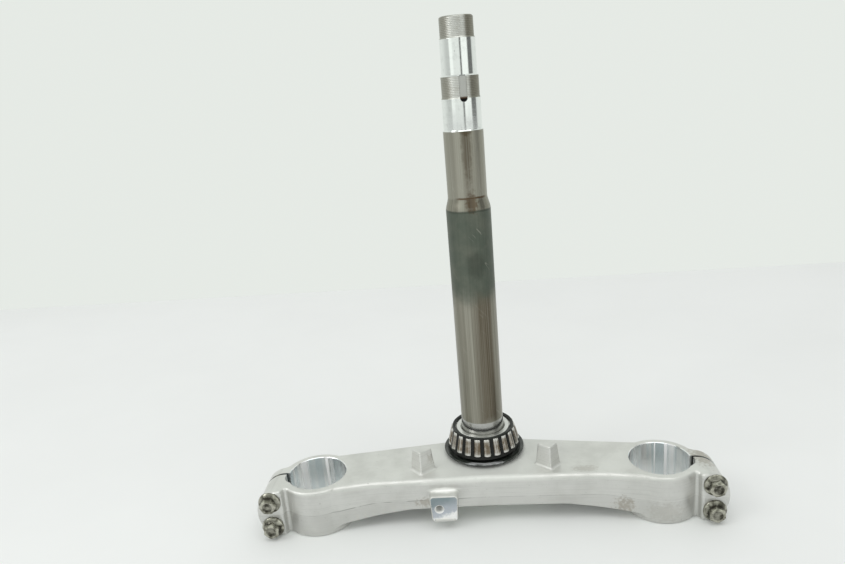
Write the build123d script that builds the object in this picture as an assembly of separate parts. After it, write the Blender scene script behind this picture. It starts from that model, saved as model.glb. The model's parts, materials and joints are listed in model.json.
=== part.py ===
from build123d import *
import os
from math import asin, atan, atan2, cos, hypot, radians, sin, tan

# Lower triple clamp with its steering stem, in millimetres.
# Origin: on the stem axis, level with the clamp's top face.
# +Z runs up the stem, -Y is the front with the bolt heads, and the fork rings lie on either side along X.

# Fork rings
fork_pitch = 240.0
fork_lead = 23.6
fork_bore_radius = 20.5
ring_wall = 5.6
ring_edge_radius = 2.4
ring_proud = 1.6
clamp_height = 35.0
bore_chamfer = 0.4

# Bar between the rings
bar_front_lead = 39.2
bar_knee_x = 80.0
bar_knee_lead = 41.0
bar_knee_radius = 150.0
bar_rear_reach = 17.8
bar_rear_slope = 8.8
bar_height = 22.0
bar_flat_half = 54.0
bar_underside_slope = 8.0
underside_bend_radius = 40.0
rear_blend_radius = 15.0
ring_root_radius = 10.0
edge_radius = 4.2
parting_level = 9.6
parting_slope = 7.5
parting_step = 0.3

# Boss that holds the stem
boss_radius = 28.0
boss_blend_radius = 12.0
boss_foot_radius = 22.0
boss_root_radius = 5.0

# Pockets in the underside of the arms
pocket_inner_x = 40.0
pocket_outer_x = 90.0
pocket_wall = 6.5
pocket_roof = 9.0
pocket_rib = 5.0
pocket_corner_radius = 5.0

# Pinch ears
ear_root_reach = 19.3
ear_inner_reach = 22.0
ear_outer_reach = 40.2
ear_front_reach = 23.2
ear_rear_reach = 10.1
ear_round_radius = 16.5
ear_end_flat = 1.0
ear_corner_radius = 3.0
ear_front_root_radius = 2.0
ear_rear_root_radius = 4.0
slit_width = 1.8
slit_relief_radius = 9.0
slit_relief_reach = 13.6
slit_relief_lead = 3.4

# Pinch bolts
bolt_reach = 30.0
bolt_spacing = 19.4
bolt_radius = 3.9
bolt_length = 30.0
bolt_chamfer = 1.0
bolt_tapped_radius = 4.0
bolt_clearance_radius = 4.5
bolt_hole_wall = 1.0
bolt_seat_depth = 0.4
bolt_seat_gap = 0.3
flange_radius = 7.7
flange_rim = 1.2
flange_height = 3.2
hex_across_flats = 10.0
head_height = 6.8
head_dish_radius = 3.6
head_dish_depth = 0.7

# Steering stops
stop_tip_x = 44.7
stop_tip_lead = 32.9
stop_inner_x = 34.6
stop_outer_x = 52.6
stop_shoulder_lead = 24.5
stop_rear_lead = 21.5
stop_corner = 3.2
stop_height = 16.0
stop_draft = 5.0
stop_edge_radius = 1.0
stop_footing = 1.0
stop_root_radius = 2.0

# Hose lug
lug_x = -29.5
lug_width = 19.8
lug_foot_width = 17.6
lug_top = 8.3
lug_bottom = 28.0
lug_reach = 8.0
lug_corner_radius = 2.8
lug_edge_radius = 0.9
lug_root_radius = 1.0
lug_lip_radius = 1.5
lug_lip_proud = 0.7
lug_hole_x = -32.9
lug_hole_drop = 18.0
lug_hole_radius = 2.5
lug_hole_depth = 10.0
lug_hole_chamfer = 0.8

# Steering stem: radii, and heights above the clamp's top face
stem_seat_radius = 16.0
lower_journal_radius = 15.0
lower_journal_top = 27.6
lower_tube_radius = 14.85
taper_bottom = 178.5
taper_top = 187.6
upper_tube_radius = 13.0
upper_journal_bottom = 230.5
upper_journal_radius = 12.5
nut_thread_bottom = 249.6
nut_thread_radius = 12.1
plain_bottom = 263.8
plain_radius = 11.3
top_thread_bottom = 286.1
top_thread_radius = 10.7
stem_top = 298.4
stem_chamfer = 0.8
lower_bore_radius = 11.0
lower_bore_top = 165.0
upper_bore_radius = 8.0
bore_step_height = 8.0
keyway_angle = 9.0
keyway_width = 4.6
keyway_bottom = 247.6

# Dust seal
seal_thickness = 2.3
seal_bore_gap = 0.3
seal_foot_radius = 24.6
seal_radius = 28.9
seal_rim_bottom = 1.6
seal_lip_height = 3.4
seal_lip_width = 2.6
seal_rim_edge = 0.5

# Tapered roller bearing
bearing_width = 17.0
ring_bore_chamfer = 1.3
ring_back_chamfer = 0.9
big_rib_radius = 22.3
small_rib_radius = 19.2
rib_edge = 0.3
roller_count = 21
roller_start_angle = -63.2
roller_tilt = 12.5
roller_length = 12.2
roller_mid_radius = 2.85
roller_circle_radius = 21.6
roller_mid_height = 10.4
roller_end_chamfer = 0.35
roller_running_gap = 0.05
roller_end_gap = 0.15
cage_pocket_gap = 0.15
cage_outer_offset = 1.85
cage_inner_offset = 0.4
cage_flange_offset = -0.35
cage_lower_rim = 2.0
cage_upper_rim = 0.8

# Worked out from the values above
sides = (1, -1)
fork_x = fork_pitch / 2
ring_radius = fork_bore_radius + ring_wall - ring_proud
ear_inner_x = fork_x + ear_inner_reach
ear_end_x = fork_x + ear_outer_reach
ear_front_y = -fork_lead - ear_front_reach
ear_rear_y = -fork_lead + ear_rear_reach
bolt_seat_y = ear_front_y + bolt_seat_depth
slit_y = -fork_lead
bolt_x = fork_x + bolt_reach
bolt_levels = [-clamp_height / 2 + side * bolt_spacing / 2 for side in sides]
apex_distance = roller_circle_radius / sin(radians(roller_tilt))
roller_half_angle = atan(roller_mid_radius / apex_distance)
roller_half_length = roller_length / 2
rib_level = roller_half_length + roller_end_gap
roller_level = seal_thickness + roller_mid_height
bottom_up = (Align.CENTER, Align.CENTER, Align.MIN)
top_down = (Align.CENTER, Align.CENTER, Align.MAX)


def near(shape, x, y):
    """The vertex of a plan outline that lies nearest to a point."""
    return min(shape.vertices(), key=lambda v: hypot(v.X - x, v.Y - y))


def both_sides(shape, x, y):
    """The vertices of a plan outline nearest to a point and to its mirror image."""
    return [near(shape, side * x, y) for side in sides]


def at_forks(shape):
    """A copy of a shape on each fork axis."""
    return [Pos(side * fork_x, -fork_lead, 0) * shape for side in sides]


def tangent_point():
    """Where the bar's front edge runs tangent into the fork ring."""
    dx = fork_x - bar_knee_x
    dy = bar_knee_lead - fork_lead
    direction = atan2(dy, dx) - asin(ring_radius / hypot(dx, dy))
    return fork_x + ring_radius * sin(direction), -fork_lead - ring_radius * cos(direction)


def rear_edge_y(x):
    """Rear edge of the bar, a straight line from the middle to the fork ring."""
    return bar_rear_reach - x * tan(radians(bar_rear_slope))


def front_edge_y(x):
    """Front edge of the bar between its knees, which runs straight from the middle to each knee."""
    return -bar_front_lead - abs(x) * (bar_knee_lead - bar_front_lead) / bar_knee_x


def bent_level(x, level, slope):
    """Height of a line that is level in the middle of the bar and drops at a slope towards the rings."""
    return -level - max(0, x - bar_flat_half) * tan(radians(slope))


def bar_plan():
    """Outline of the bar seen from above, with the front edge bent at a knee on each side."""
    touch_x, touch_y = tangent_point()
    half = [
        (0, -bar_front_lead),
        (bar_knee_x, -bar_knee_lead),
        (touch_x, touch_y),
        (fork_x, -fork_lead),
        (fork_x, rear_edge_y(fork_x)),
        (0, rear_edge_y(0)),
    ]
    mirrored = [(-x, y) for x, y in reversed(half[1:-1])]
    plan = make_face(Polyline(*half, *mirrored, close=True))
    return fillet(both_sides(plan, bar_knee_x, -bar_knee_lead), bar_knee_radius)


def body_plan():
    """Outline of the bar, rings and boss seen from above, with blended inner corners."""
    plan = Sketch() + [bar_plan(), Circle(boss_radius)] + at_forks(Circle(ring_radius))
    meet_x = fork_x - 0.4 * ring_radius
    plan = fillet(both_sides(plan, meet_x, rear_edge_y(meet_x)), rear_blend_radius)
    return fillet(both_sides(plan, boss_radius, rear_edge_y(boss_radius)), boss_blend_radius)


def flared_foot(radius, flare, root_level):
    """A round post down to the clamp's bottom face that flares into the bar's underside by an arc."""
    below = -clamp_height - flare
    arc_middle = flare * (1 - sin(radians(45)))
    outline = [
        Line((0, below), (radius, below)),
        Line((radius, below), (radius, root_level - flare)),
        ThreePointArc(
            (radius, root_level - flare),
            (radius + arc_middle, root_level - arc_middle),
            (radius + flare, root_level),
        ),
        Line((radius + flare, root_level), (radius + flare, 0)),
        Line((radius + flare, 0), (0, 0)),
        Line((0, 0), (0, below)),
    ]
    return revolve(Plane.XZ * make_face(outline), Axis.Z)


def space_below(level, slope):
    """Everything between the forks below a bent line, with its bends rounded."""
    depth = bar_front_lead + fork_lead + ring_radius
    half = [
        (bar_flat_half, -level),
        (fork_x, bent_level(fork_x, level, slope)),
        (fork_x, -clamp_height - 1),
    ]
    mirrored = [(-x, z) for x, z in reversed(half)]
    profile = make_face(Polyline(*half, *mirrored, close=True))
    profile = fillet(both_sides(profile, bar_flat_half, -level), underside_bend_radius)
    return extrude(Plane.XZ * profile, depth, both=True)


def underside_cut():
    """Space below the bar: everything under it but the rings and the boss's foot."""
    space = space_below(bar_height, bar_underside_slope)
    ring_root = bent_level(fork_x - ring_radius - ring_root_radius, bar_height, bar_underside_slope)
    space -= at_forks(flared_foot(ring_radius, ring_root_radius, ring_root))
    return space - flared_foot(boss_foot_radius, boss_root_radius, -bar_height)


def parting_cut():
    """A thin skin off the sides of the bar below the line where the mould's two halves met."""
    plan = body_plan()
    skin = extrude(plan, -clamp_height) - extrude(offset(plan, -parting_step), -clamp_height)
    return skin & space_below(parting_level, parting_slope)


def pocket_cuts():
    """Cast pockets in the underside, two in each arm with a rib between them."""
    front_y = -bar_front_lead + pocket_wall
    middle_x = (pocket_inner_x + pocket_outer_x) / 2
    spans = [(pocket_inner_x, middle_x - pocket_rib / 2), (middle_x + pocket_rib / 2, pocket_outer_x)]
    cuts = []
    for side in sides:
        for inner, outer in spans:
            corners = [
                (side * inner, front_y),
                (side * outer, front_y),
                (side * outer, rear_edge_y(outer) - pocket_wall),
                (side * inner, rear_edge_y(inner) - pocket_wall),
            ]
            plan = make_face(Polyline(*corners, close=True))
            plan = fillet(plan.vertices(), pocket_corner_radius)
            cuts.append(Pos(0, 0, -clamp_height) * extrude(plan, clamp_height - pocket_roof, dir=(0, 0, 1)))
    return cuts


def ear_round_limit():
    """The largest round at an ear's outer corners that leaves a wall beside the bolt holes and a flat at the end."""
    kept = bolt_clearance_radius + bolt_hole_wall
    from_end = ear_outer_reach - bolt_reach
    from_face = (clamp_height - bolt_spacing) / 2
    spare = 2 * max(from_end - kept, 0) * max(from_face - kept, 0)
    return min(from_end + from_face - kept + spare**0.5, (clamp_height - ear_end_flat) / 2)


def ring_with_ear(side):
    """One fork ring with its pinch ear, round at the ear's outer corners, with the mould's step at half height."""
    outer = ring_radius + ring_proud
    root_x = fork_x + ear_root_reach
    root_y = -fork_lead - (outer**2 - ear_root_reach**2) ** 0.5
    lug = make_face(Polyline(
        (ear_inner_x, ear_front_y),
        (ear_end_x, ear_front_y),
        (ear_end_x, ear_rear_y),
        (fork_x, ear_rear_y),
        (2 * root_x - ear_inner_x, 2 * root_y - ear_front_y),
        close=True,
    ))
    plan = Sketch() + [Pos(fork_x, -fork_lead) * Circle(outer), lug]
    plan = fillet(near(plan, root_x, root_y), ear_front_root_radius)
    rear_root_x = fork_x + (outer**2 - ear_rear_reach**2) ** 0.5
    plan = fillet(near(plan, rear_root_x, ear_rear_y), ear_rear_root_radius)
    plan = fillet(near(plan, ear_inner_x, ear_front_y), ear_corner_radius)
    block = extrude(plan, -clamp_height)
    reach = 2 * ear_outer_reach
    side_view = Pos(fork_x, -clamp_height / 2) * Rectangle(reach, clamp_height)
    round_radius = min(ear_round_radius, ear_round_limit())
    side_view = fillet(side_view.vertices().group_by(Axis.X)[-1], round_radius)
    block &= extrude(Plane.XZ * side_view, reach, both=True)
    rims = block.faces().filter_by(Axis.Z).edges() + block.faces().filter_by(Axis.Y).edges()
    block = fillet(rims, ring_edge_radius)
    below = Plane.XY.offset(-clamp_height / 2)
    outside = extrude(below * offset(plan, 1), -clamp_height)
    block -= outside - extrude(below * offset(plan, -parting_step), -clamp_height)
    return block if side > 0 else mirror(block, about=Plane.YZ)


def ear_cuts(side):
    """The slit of one ear, the relief beside it in the bore, and the seats and holes of the two bolts."""
    through = Plane.XY.offset(1)
    depth = -clamp_height - 2
    slit = Pos(ear_end_x, slit_y) * Rectangle(2 * ear_outer_reach, slit_width)
    relief = Pos(fork_x + slit_relief_reach, -fork_lead - slit_relief_lead) * Circle(slit_relief_radius)
    front_half = Rectangle(ear_outer_reach, fork_pitch, align=(Align.MIN, Align.MAX))
    relief &= Pos(fork_x, slit_y) * front_half
    cut = extrude(through * (slit + relief), depth)
    for level in bolt_levels:
        before_front = Plane((bolt_x, ear_front_y - 1, level), z_dir=(0, 1, 0))
        into_rear = Plane((bolt_x, slit_y, level), z_dir=(0, 1, 0))
        cut += extrude(before_front * Circle(flange_radius + bolt_seat_gap), bolt_seat_depth + 1)
        cut += extrude(before_front * Circle(bolt_clearance_radius), slit_y - ear_front_y + 1)
        cut += extrude(into_rear * Circle(bolt_tapped_radius), ear_rear_y - slit_y)
    return cut if side > 0 else mirror(cut, about=Plane.YZ)


def steering_stop(side):
    """One steering stop: a drafted wedge on the top face that points forward, with its contact face to the rear."""
    plan = make_face(Polyline(
        (stop_tip_x, -stop_tip_lead),
        (stop_outer_x, -stop_shoulder_lead),
        (stop_outer_x - stop_corner, -stop_rear_lead),
        (stop_inner_x + stop_corner, -stop_rear_lead),
        (stop_inner_x, -stop_shoulder_lead),
        close=True,
    ))
    footing = Plane.XY.offset(-stop_footing)
    block = extrude(footing * plan, stop_height + stop_footing, taper=stop_draft)
    edges = block.edges() - block.faces().sort_by(Axis.Z)[0].edges()
    block = fillet(edges, stop_edge_radius)
    return block if side > 0 else mirror(block, about=Plane.YZ)


def on_a_stop(edge):
    """Whether an edge lies in the top face, round the foot of a steering stop."""
    middle = edge.center()
    across = stop_inner_x - 1 < abs(middle.X) < stop_outer_x + 1
    along = -stop_tip_lead - 1 < middle.Y < -stop_rear_lead + 1
    return abs(middle.Z) < 0.01 and across and along


def hose_lug():
    """Cast lug on the bar's front face for the brake hose's clip, narrower at its foot, with a round lip there."""
    root = lug_reach + edge_radius
    profile = make_face(Polyline(
        (lug_x - lug_width / 2, -lug_top),
        (lug_x + lug_width / 2, -lug_top),
        (lug_x + lug_foot_width / 2, -lug_bottom),
        (lug_x - lug_foot_width / 2, -lug_bottom),
        close=True,
    ))
    profile = fillet(profile.vertices(), lug_corner_radius)
    block = Pos(0, -bar_front_lead + edge_radius, 0) * extrude(Plane.XZ * profile, root)
    front = block.faces().sort_by(Axis.Y)[0]
    block = fillet(front.edges(), lug_edge_radius)
    lip_half = lug_foot_width / 2 - lug_corner_radius
    lip = Rot(0, 90, 0) * Cylinder(lug_lip_radius, 2 * lip_half)
    lip += [Pos(side * lip_half, 0, 0) * Sphere(lug_lip_radius) for side in sides]
    lip_y = -bar_front_lead - lug_reach - lug_lip_proud + lug_lip_radius
    return block + Pos(lug_x, lip_y, -lug_bottom + lug_lip_radius) * lip


def round_the_lug(edge):
    """Whether an edge lies in the bar's front face, round the root of the hose lug."""
    middle = edge.center()
    in_face = abs(middle.Y - front_edge_y(middle.X)) < 2 * parting_step
    in_height = -bar_height < middle.Z < -lug_top + 1
    return in_face and in_height and abs(middle.X - lug_x) < lug_width / 2 + 1


def lug_hole():
    """Tapped blind hole in the hose lug, with a countersunk mouth."""
    mouth = Plane((lug_hole_x, -bar_front_lead - lug_reach, -lug_hole_drop), z_dir=(0, 1, 0))
    hole = extrude(mouth * Circle(lug_hole_radius), lug_hole_depth)
    sink = Cone(lug_hole_radius + lug_hole_chamfer, lug_hole_radius, lug_hole_chamfer, align=bottom_up)
    return hole + mouth * sink


def lower_clamp():
    """The aluminium casting."""
    body = extrude(body_plan(), -clamp_height)
    top_face = body.faces().sort_by(Axis.Z)[-1]
    body = fillet(top_face.edges(), edge_radius)
    body -= parting_cut()
    body -= underside_cut()
    body -= pocket_cuts()
    body += [ring_with_ear(side) for side in sides]
    body += [steering_stop(side) for side in sides]
    body = fillet(body.edges().filter_by(on_a_stop), stop_root_radius)
    body += hose_lug()
    body = fillet(body.edges().filter_by(round_the_lug), lug_root_radius)
    body -= lug_hole()
    bore = Cylinder(fork_bore_radius, clamp_height, align=top_down)
    rim = Cone(fork_bore_radius, fork_bore_radius + bore_chamfer, bore_chamfer, align=top_down)
    base = Pos(0, 0, -clamp_height) * mirror(rim, about=Plane.XY)
    body -= at_forks(bore + rim + base)
    body -= [ear_cuts(side) for side in sides]
    body -= Cylinder(stem_seat_radius, clamp_height, align=top_down)
    return body


def turned(points):
    """A solid turned about Z from an outline of radius and height."""
    return revolve(Plane.XZ * make_face(Polyline(*points, close=True)), Axis.Z)


def steering_stem():
    """The steel stem: seat, journals and thread lengths, bored through, with the lock washer's keyway."""
    bottom = -clamp_height
    stem = turned([
        (lower_bore_radius, bottom),
        (stem_seat_radius - stem_chamfer, bottom),
        (stem_seat_radius, bottom + stem_chamfer),
        (stem_seat_radius, 0),
        (lower_journal_radius, 0),
        (lower_journal_radius, lower_journal_top),
        (lower_tube_radius, lower_journal_top),
        (lower_tube_radius, taper_bottom),
        (upper_tube_radius, taper_top),
        (upper_tube_radius, upper_journal_bottom - stem_chamfer),
        (upper_journal_radius, upper_journal_bottom),
        (upper_journal_radius, nut_thread_bottom),
        (nut_thread_radius, nut_thread_bottom + stem_chamfer),
        (nut_thread_radius, plain_bottom - stem_chamfer),
        (plain_radius, plain_bottom),
        (plain_radius, top_thread_bottom - stem_chamfer),
        (top_thread_radius, top_thread_bottom),
        (top_thread_radius, stem_top - stem_chamfer),
        (top_thread_radius - stem_chamfer, stem_top),
        (upper_bore_radius, stem_top),
        (upper_bore_radius, lower_bore_top + bore_step_height),
        (lower_bore_radius, lower_bore_top),
    ])
    facing = radians(keyway_angle)
    outward = (sin(facing), -cos(facing), 0)
    floor = Plane(Vector(outward) * plain_radius, x_dir=(cos(facing), sin(facing), 0), z_dir=outward)
    round_end = keyway_bottom + keyway_width / 2
    straight = plain_bottom - round_end
    slot = Pos(0, round_end) * Circle(keyway_width / 2)
    slot += Pos(0, round_end + straight / 2) * Rectangle(keyway_width, straight)
    return stem - extrude(floor * slot, lower_journal_radius - plain_radius)


def dust_seal():
    """The rubber-faced seal washer under the bearing, undercut at its foot, with a raised outer lip."""
    bore = lower_journal_radius + seal_bore_gap
    lip_inner = seal_radius - seal_lip_width
    return turned([
        (bore, 0),
        (seal_foot_radius, 0),
        (seal_radius - seal_rim_edge, seal_rim_bottom),
        (seal_radius, seal_rim_bottom + seal_rim_edge),
        (seal_radius, seal_lip_height - seal_rim_edge),
        (seal_radius - seal_rim_edge, seal_lip_height),
        (lip_inner, seal_lip_height),
        (lip_inner - seal_lip_height + seal_thickness, seal_thickness),
        (bore, seal_thickness),
    ])


def on_roller_axis(along, outward):
    """Radius and height of a point given along a roller's axis, up from its middle, and out from it."""
    tilt = radians(roller_tilt)
    radius = roller_circle_radius - along * sin(tilt) + outward * cos(tilt)
    return radius, roller_level + along * cos(tilt) + outward * sin(tilt)


def roller_radius(along):
    """Radius of a roller's cone at a distance along its axis, up from its middle."""
    return (apex_distance - along) * tan(roller_half_angle)


def rib_point(along, radius):
    """Point on the plane of a roller's end at a given distance from the stem's axis."""
    tilt = radians(roller_tilt)
    outward = (radius - roller_circle_radius + along * sin(tilt)) / cos(tilt)
    return on_roller_axis(along, outward)


def bearing_inner_ring():
    """The inner ring with its conical track between a large and a small rib."""
    back = seal_thickness
    top = back + bearing_width
    bore = lower_journal_radius
    return turned([
        (bore + ring_bore_chamfer, back),
        (big_rib_radius - ring_back_chamfer, back),
        (big_rib_radius, back + ring_back_chamfer),
        (big_rib_radius, rib_point(-rib_level, big_rib_radius)[1] - rib_edge),
        rib_point(-rib_level, big_rib_radius - rib_edge),
        on_roller_axis(-rib_level, -roller_radius(-rib_level)),
        on_roller_axis(rib_level, -roller_radius(rib_level)),
        rib_point(rib_level, small_rib_radius),
        (small_rib_radius, top - rib_edge),
        (small_rib_radius - rib_edge, top),
        (bore + ring_bore_chamfer, top),
        (bore, top - ring_bore_chamfer),
        (bore, back + ring_bore_chamfer),
    ])


def roller_place(number):
    """Place of one roller in the bearing, its own axis along local Z."""
    angle = roller_start_angle + number * 360 / roller_count
    return Rot(0, 0, angle) * Pos(0, -roller_circle_radius, roller_level) * Rot(-roller_tilt, 0, 0)


def roller():
    """One tapered roller, standing on the origin with its axis along Z."""
    end = roller_half_length
    chamfer = roller_end_chamfer
    low = roller_radius(-end) - roller_running_gap
    high = roller_radius(end) - roller_running_gap
    return turned([
        (0, -end),
        (low - chamfer, -end),
        (low, -end + chamfer),
        (high, end - chamfer),
        (high - chamfer, end),
        (0, end),
    ])


def bearing_cage():
    """The sheet-steel cage: a cone with a pocket for each roller and an inward flange at its small end."""
    end = rib_level + roller_end_gap
    shell = turned([
        on_roller_axis(-end - cage_lower_rim, cage_inner_offset),
        on_roller_axis(-end - cage_lower_rim, cage_outer_offset),
        on_roller_axis(end + cage_upper_rim, cage_outer_offset),
        on_roller_axis(end + cage_upper_rim, cage_flange_offset),
        on_roller_axis(end, cage_flange_offset),
        on_roller_axis(end, cage_inner_offset),
    ])
    window = Cone(
        roller_radius(-rib_level) + cage_pocket_gap,
        roller_radius(rib_level) + cage_pocket_gap,
        2 * rib_level,
    )
    return shell - [roller_place(number) * window for number in range(roller_count)]


def flange_bolt():
    """One flanged hexagon bolt, its seat on the origin, its head up Z and its shank down."""
    across_corners = hex_across_flats / cos(radians(30))
    shank = turned([
        (0, flange_rim),
        (bolt_radius, flange_rim),
        (bolt_radius, bolt_chamfer - bolt_length),
        (bolt_radius - bolt_chamfer, -bolt_length),
        (0, -bolt_length),
    ])
    flange = turned([
        (0, 0),
        (flange_radius, 0),
        (flange_radius, flange_rim),
        (hex_across_flats / 2, flange_height),
        (0, flange_height),
    ])
    head = extrude(RegularPolygon(across_corners / 2, 6), head_height)
    corner_drop = (across_corners - hex_across_flats) / 2
    crown = turned([
        (0, 0),
        (across_corners / 2, 0),
        (across_corners / 2, head_height - corner_drop),
        (hex_across_flats / 2 - head_dish_depth, head_height),
        (head_dish_radius, head_height),
        (head_dish_radius - head_dish_depth, head_height - head_dish_depth),
        (0, head_height - head_dish_depth),
    ])
    return shank + flange + (head & crown)


def pinch_bolts():
    """The four pinch bolts, two in each ear, put in from the front."""
    bolt = flange_bolt()
    seats = [
        Plane((side * bolt_x, bolt_seat_y, level), x_dir=(0, 0, 1), z_dir=(0, -1, 0))
        for side in sides
        for level in bolt_levels
    ]
    return Compound([seat * bolt for seat in seats])


def main():
    os.makedirs("parts", exist_ok=True)
    nodes = {
        "lower_clamp": lower_clamp(),
        "steering_stem": steering_stem(),
        "dust_seal": dust_seal(),
        "bearing_inner_ring": bearing_inner_ring(),
        "bearing_cage": bearing_cage(),
        "pinch_bolts": pinch_bolts(),
    }
    for number in range(roller_count):
        nodes[f"roller_{number + 1:02d}"] = roller_place(number) * roller()
    for name, shape in nodes.items():
        export_step(shape, f"parts/{name}.step")


if __name__ == "__main__":
    main()
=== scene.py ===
import json
from math import cos, hypot, pi, radians, sin

import bmesh
import bpy
import numpy as np
from bpy.props import FloatProperty, FloatVectorProperty, IntProperty, PointerProperty
from mathutils import Matrix, Vector


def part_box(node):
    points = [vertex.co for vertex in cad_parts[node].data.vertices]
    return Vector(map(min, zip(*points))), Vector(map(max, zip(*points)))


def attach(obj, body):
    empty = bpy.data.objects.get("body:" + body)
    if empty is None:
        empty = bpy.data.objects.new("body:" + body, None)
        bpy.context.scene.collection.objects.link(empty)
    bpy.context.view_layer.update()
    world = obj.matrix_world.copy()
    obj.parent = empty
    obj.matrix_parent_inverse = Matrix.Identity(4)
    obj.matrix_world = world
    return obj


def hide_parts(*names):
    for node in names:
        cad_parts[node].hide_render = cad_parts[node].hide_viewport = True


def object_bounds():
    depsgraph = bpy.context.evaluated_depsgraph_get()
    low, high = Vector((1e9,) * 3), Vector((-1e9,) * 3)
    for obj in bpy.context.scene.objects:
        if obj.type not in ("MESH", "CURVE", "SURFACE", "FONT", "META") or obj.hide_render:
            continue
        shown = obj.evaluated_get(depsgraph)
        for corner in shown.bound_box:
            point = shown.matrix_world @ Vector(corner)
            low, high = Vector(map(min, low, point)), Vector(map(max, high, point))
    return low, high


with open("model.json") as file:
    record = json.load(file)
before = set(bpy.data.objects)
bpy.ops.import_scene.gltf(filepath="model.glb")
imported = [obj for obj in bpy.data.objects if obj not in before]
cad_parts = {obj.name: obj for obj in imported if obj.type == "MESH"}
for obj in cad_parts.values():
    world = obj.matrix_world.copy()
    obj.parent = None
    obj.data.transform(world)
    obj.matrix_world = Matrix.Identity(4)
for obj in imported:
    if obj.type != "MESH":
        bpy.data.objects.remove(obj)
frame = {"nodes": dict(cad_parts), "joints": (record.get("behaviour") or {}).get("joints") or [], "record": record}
cad_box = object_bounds()

bl_info = {
    "name": "Lower Triple Clamp",
    "version": (1, 0, 0),
    "blender": (4, 5, 0),
    "location": "3D View > Sidebar > Clamp",
    "description": "Finishes a motorcycle's lower triple clamp, its steering stem and its lower bearing",
    "category": "Object",
}

MM = 0.001
mounts = {mount["name"]: mount for mount in frame["record"]["mounts"]}
joints = {joint["name"]: joint for joint in frame["joints"]}
roller_names = sorted(name for name in frame["nodes"] if name.startswith("roller_"))


def in_mm(*values):
    """A place or a size given in millimetres."""
    return Vector(values) * MM


def length(label, description, value):
    """A property for a length in metres."""
    return FloatProperty(name=label, description=description, default=value, unit="LENGTH", precision=5)


def colour(label, description, value):
    """A property for a linear colour."""
    return FloatVectorProperty(
        name=label, description=description, default=value, subtype="COLOR", min=0.0, max=1.0
    )


def share(label, description, value):
    """A property for a number from 0 to 1."""
    return FloatProperty(
        name=label, description=description, default=value, subtype="FACTOR", min=0.0, max=1.0
    )


def angle(label, description, value):
    """A property for an angle."""
    return FloatProperty(name=label, description=description, default=value, subtype="ANGLE")


class CastingSettings(bpy.types.PropertyGroup):
    """Colours and shading of the clamp casting."""

    skin: colour("Casting", "Colour of the cast skin", (0.76, 0.76, 0.735))
    shade: colour("Casting shade", "Darker clouds in the cast skin", (0.67, 0.67, 0.645))
    matt: colour("Matt skin", "Dull cast skin round the stem", (0.62, 0.66, 0.60))
    # Painted highlight on the top of the hose lug.
    rubbed_skin: colour("Rubbed skin", "Bright top of the hose lug", (0.96, 0.96, 0.94))
    bored: colour("Bored", "Colour of the bored faces", (0.97, 0.97, 0.965))
    # Painted reflection: grey bands along the bores.
    rubbed: colour("Rubbed bore", "Grey bands along the bored faces", (0.80, 0.85, 0.87))
    tapped: colour("Tapped", "Colour of the lug's tapped hole", (0.95, 0.95, 0.94))
    milled: colour("Milled", "Colour of the lug's milled face", (0.52, 0.55, 0.60))
    # Painted shade on the upper part of the milled face.
    dulled: colour("Dulled", "Dulled upper part of the milled face", (0.265, 0.315, 0.335))
    stain: colour("Stain", "Brown stains on the cast skin", (0.30, 0.255, 0.20))
    grime: colour("Grime", "Dark specks in the cast skin", (0.20, 0.19, 0.17))
    sharp_angle: angle("Sharp angle", "Edges with a steeper turn than this stay sharp", radians(32))


class StemSettings(bpy.types.PropertyGroup):
    """Sizes and colours of the steering stem."""

    columns: IntProperty(name="Columns", description="Facets round the stem", default=132, min=24)
    seat_radius: length("Seat radius", "Radius of the part pressed into the clamp", 16.0 * MM)
    journal_radius: length("Journal radius", "Radius of the lower bearing's journal", 15.0 * MM)
    journal_top: length("Journal top", "Height of the lower journal's upper end", 27.6 * MM)
    tube_radius: length("Tube radius", "Radius of the long lower tube", 14.85 * MM)
    taper_bottom: length("Taper bottom", "Height where the tube starts to narrow", 178.5 * MM)
    taper_top: length("Taper top", "Height where the tube stops narrowing", 187.6 * MM)
    neck_radius: length("Neck radius", "Radius of the tube above the taper", 13.0 * MM)
    lower_bore: length("Lower bore", "Radius of the wide bore", 11.0 * MM)
    upper_bore: length("Upper bore", "Radius of the narrow bore", 8.0 * MM)
    bore_top: length("Bore top", "Height where the wide bore ends", 165.0 * MM)
    bore_step: length("Bore step", "Height over which the bore narrows", 8.0 * MM)
    chamfer: length("Chamfer", "Chamfer between the stem's sections", 0.8 * MM)
    thread_pitch: length("Thread pitch", "Distance between two turns of the threads", 1.0 * MM)
    thread_depth: length("Thread depth", "Depth of the threads", 0.12 * MM)
    keyway_width: length("Keyway width", "Width of the lock washer's keyway", 4.6 * MM)
    keyway_bottom: length("Keyway bottom", "Height of the keyway's round end", 247.6 * MM)
    keyway_facing: angle("Keyway facing", "How far the keyway is turned from the front", radians(9))
    tube: colour("Tube", "Colour of the bare tube", (0.245, 0.238, 0.196))
    brown: colour("Brown film", "Old grease and rust bloom on the tube", (0.095, 0.073, 0.046))
    # Also laid as a painted highlight down the tube, left of its front.
    pale: colour("Rubbed", "Tube rubbed bare", (0.42, 0.41, 0.355))
    hardened: colour("Dark band", "Dark band below the taper", (0.100, 0.120, 0.098))
    rust: colour("Rust", "Rust at the taper", (0.085, 0.046, 0.02))
    ground: colour("Ground steel", "Colour of the upper journals", (0.82, 0.84, 0.83))
    worn: colour("Worn journal", "Colour of the lower journal", (0.44, 0.44, 0.42))
    thread: colour("Thread", "Colour of the threads", (0.62, 0.63, 0.60))


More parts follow.
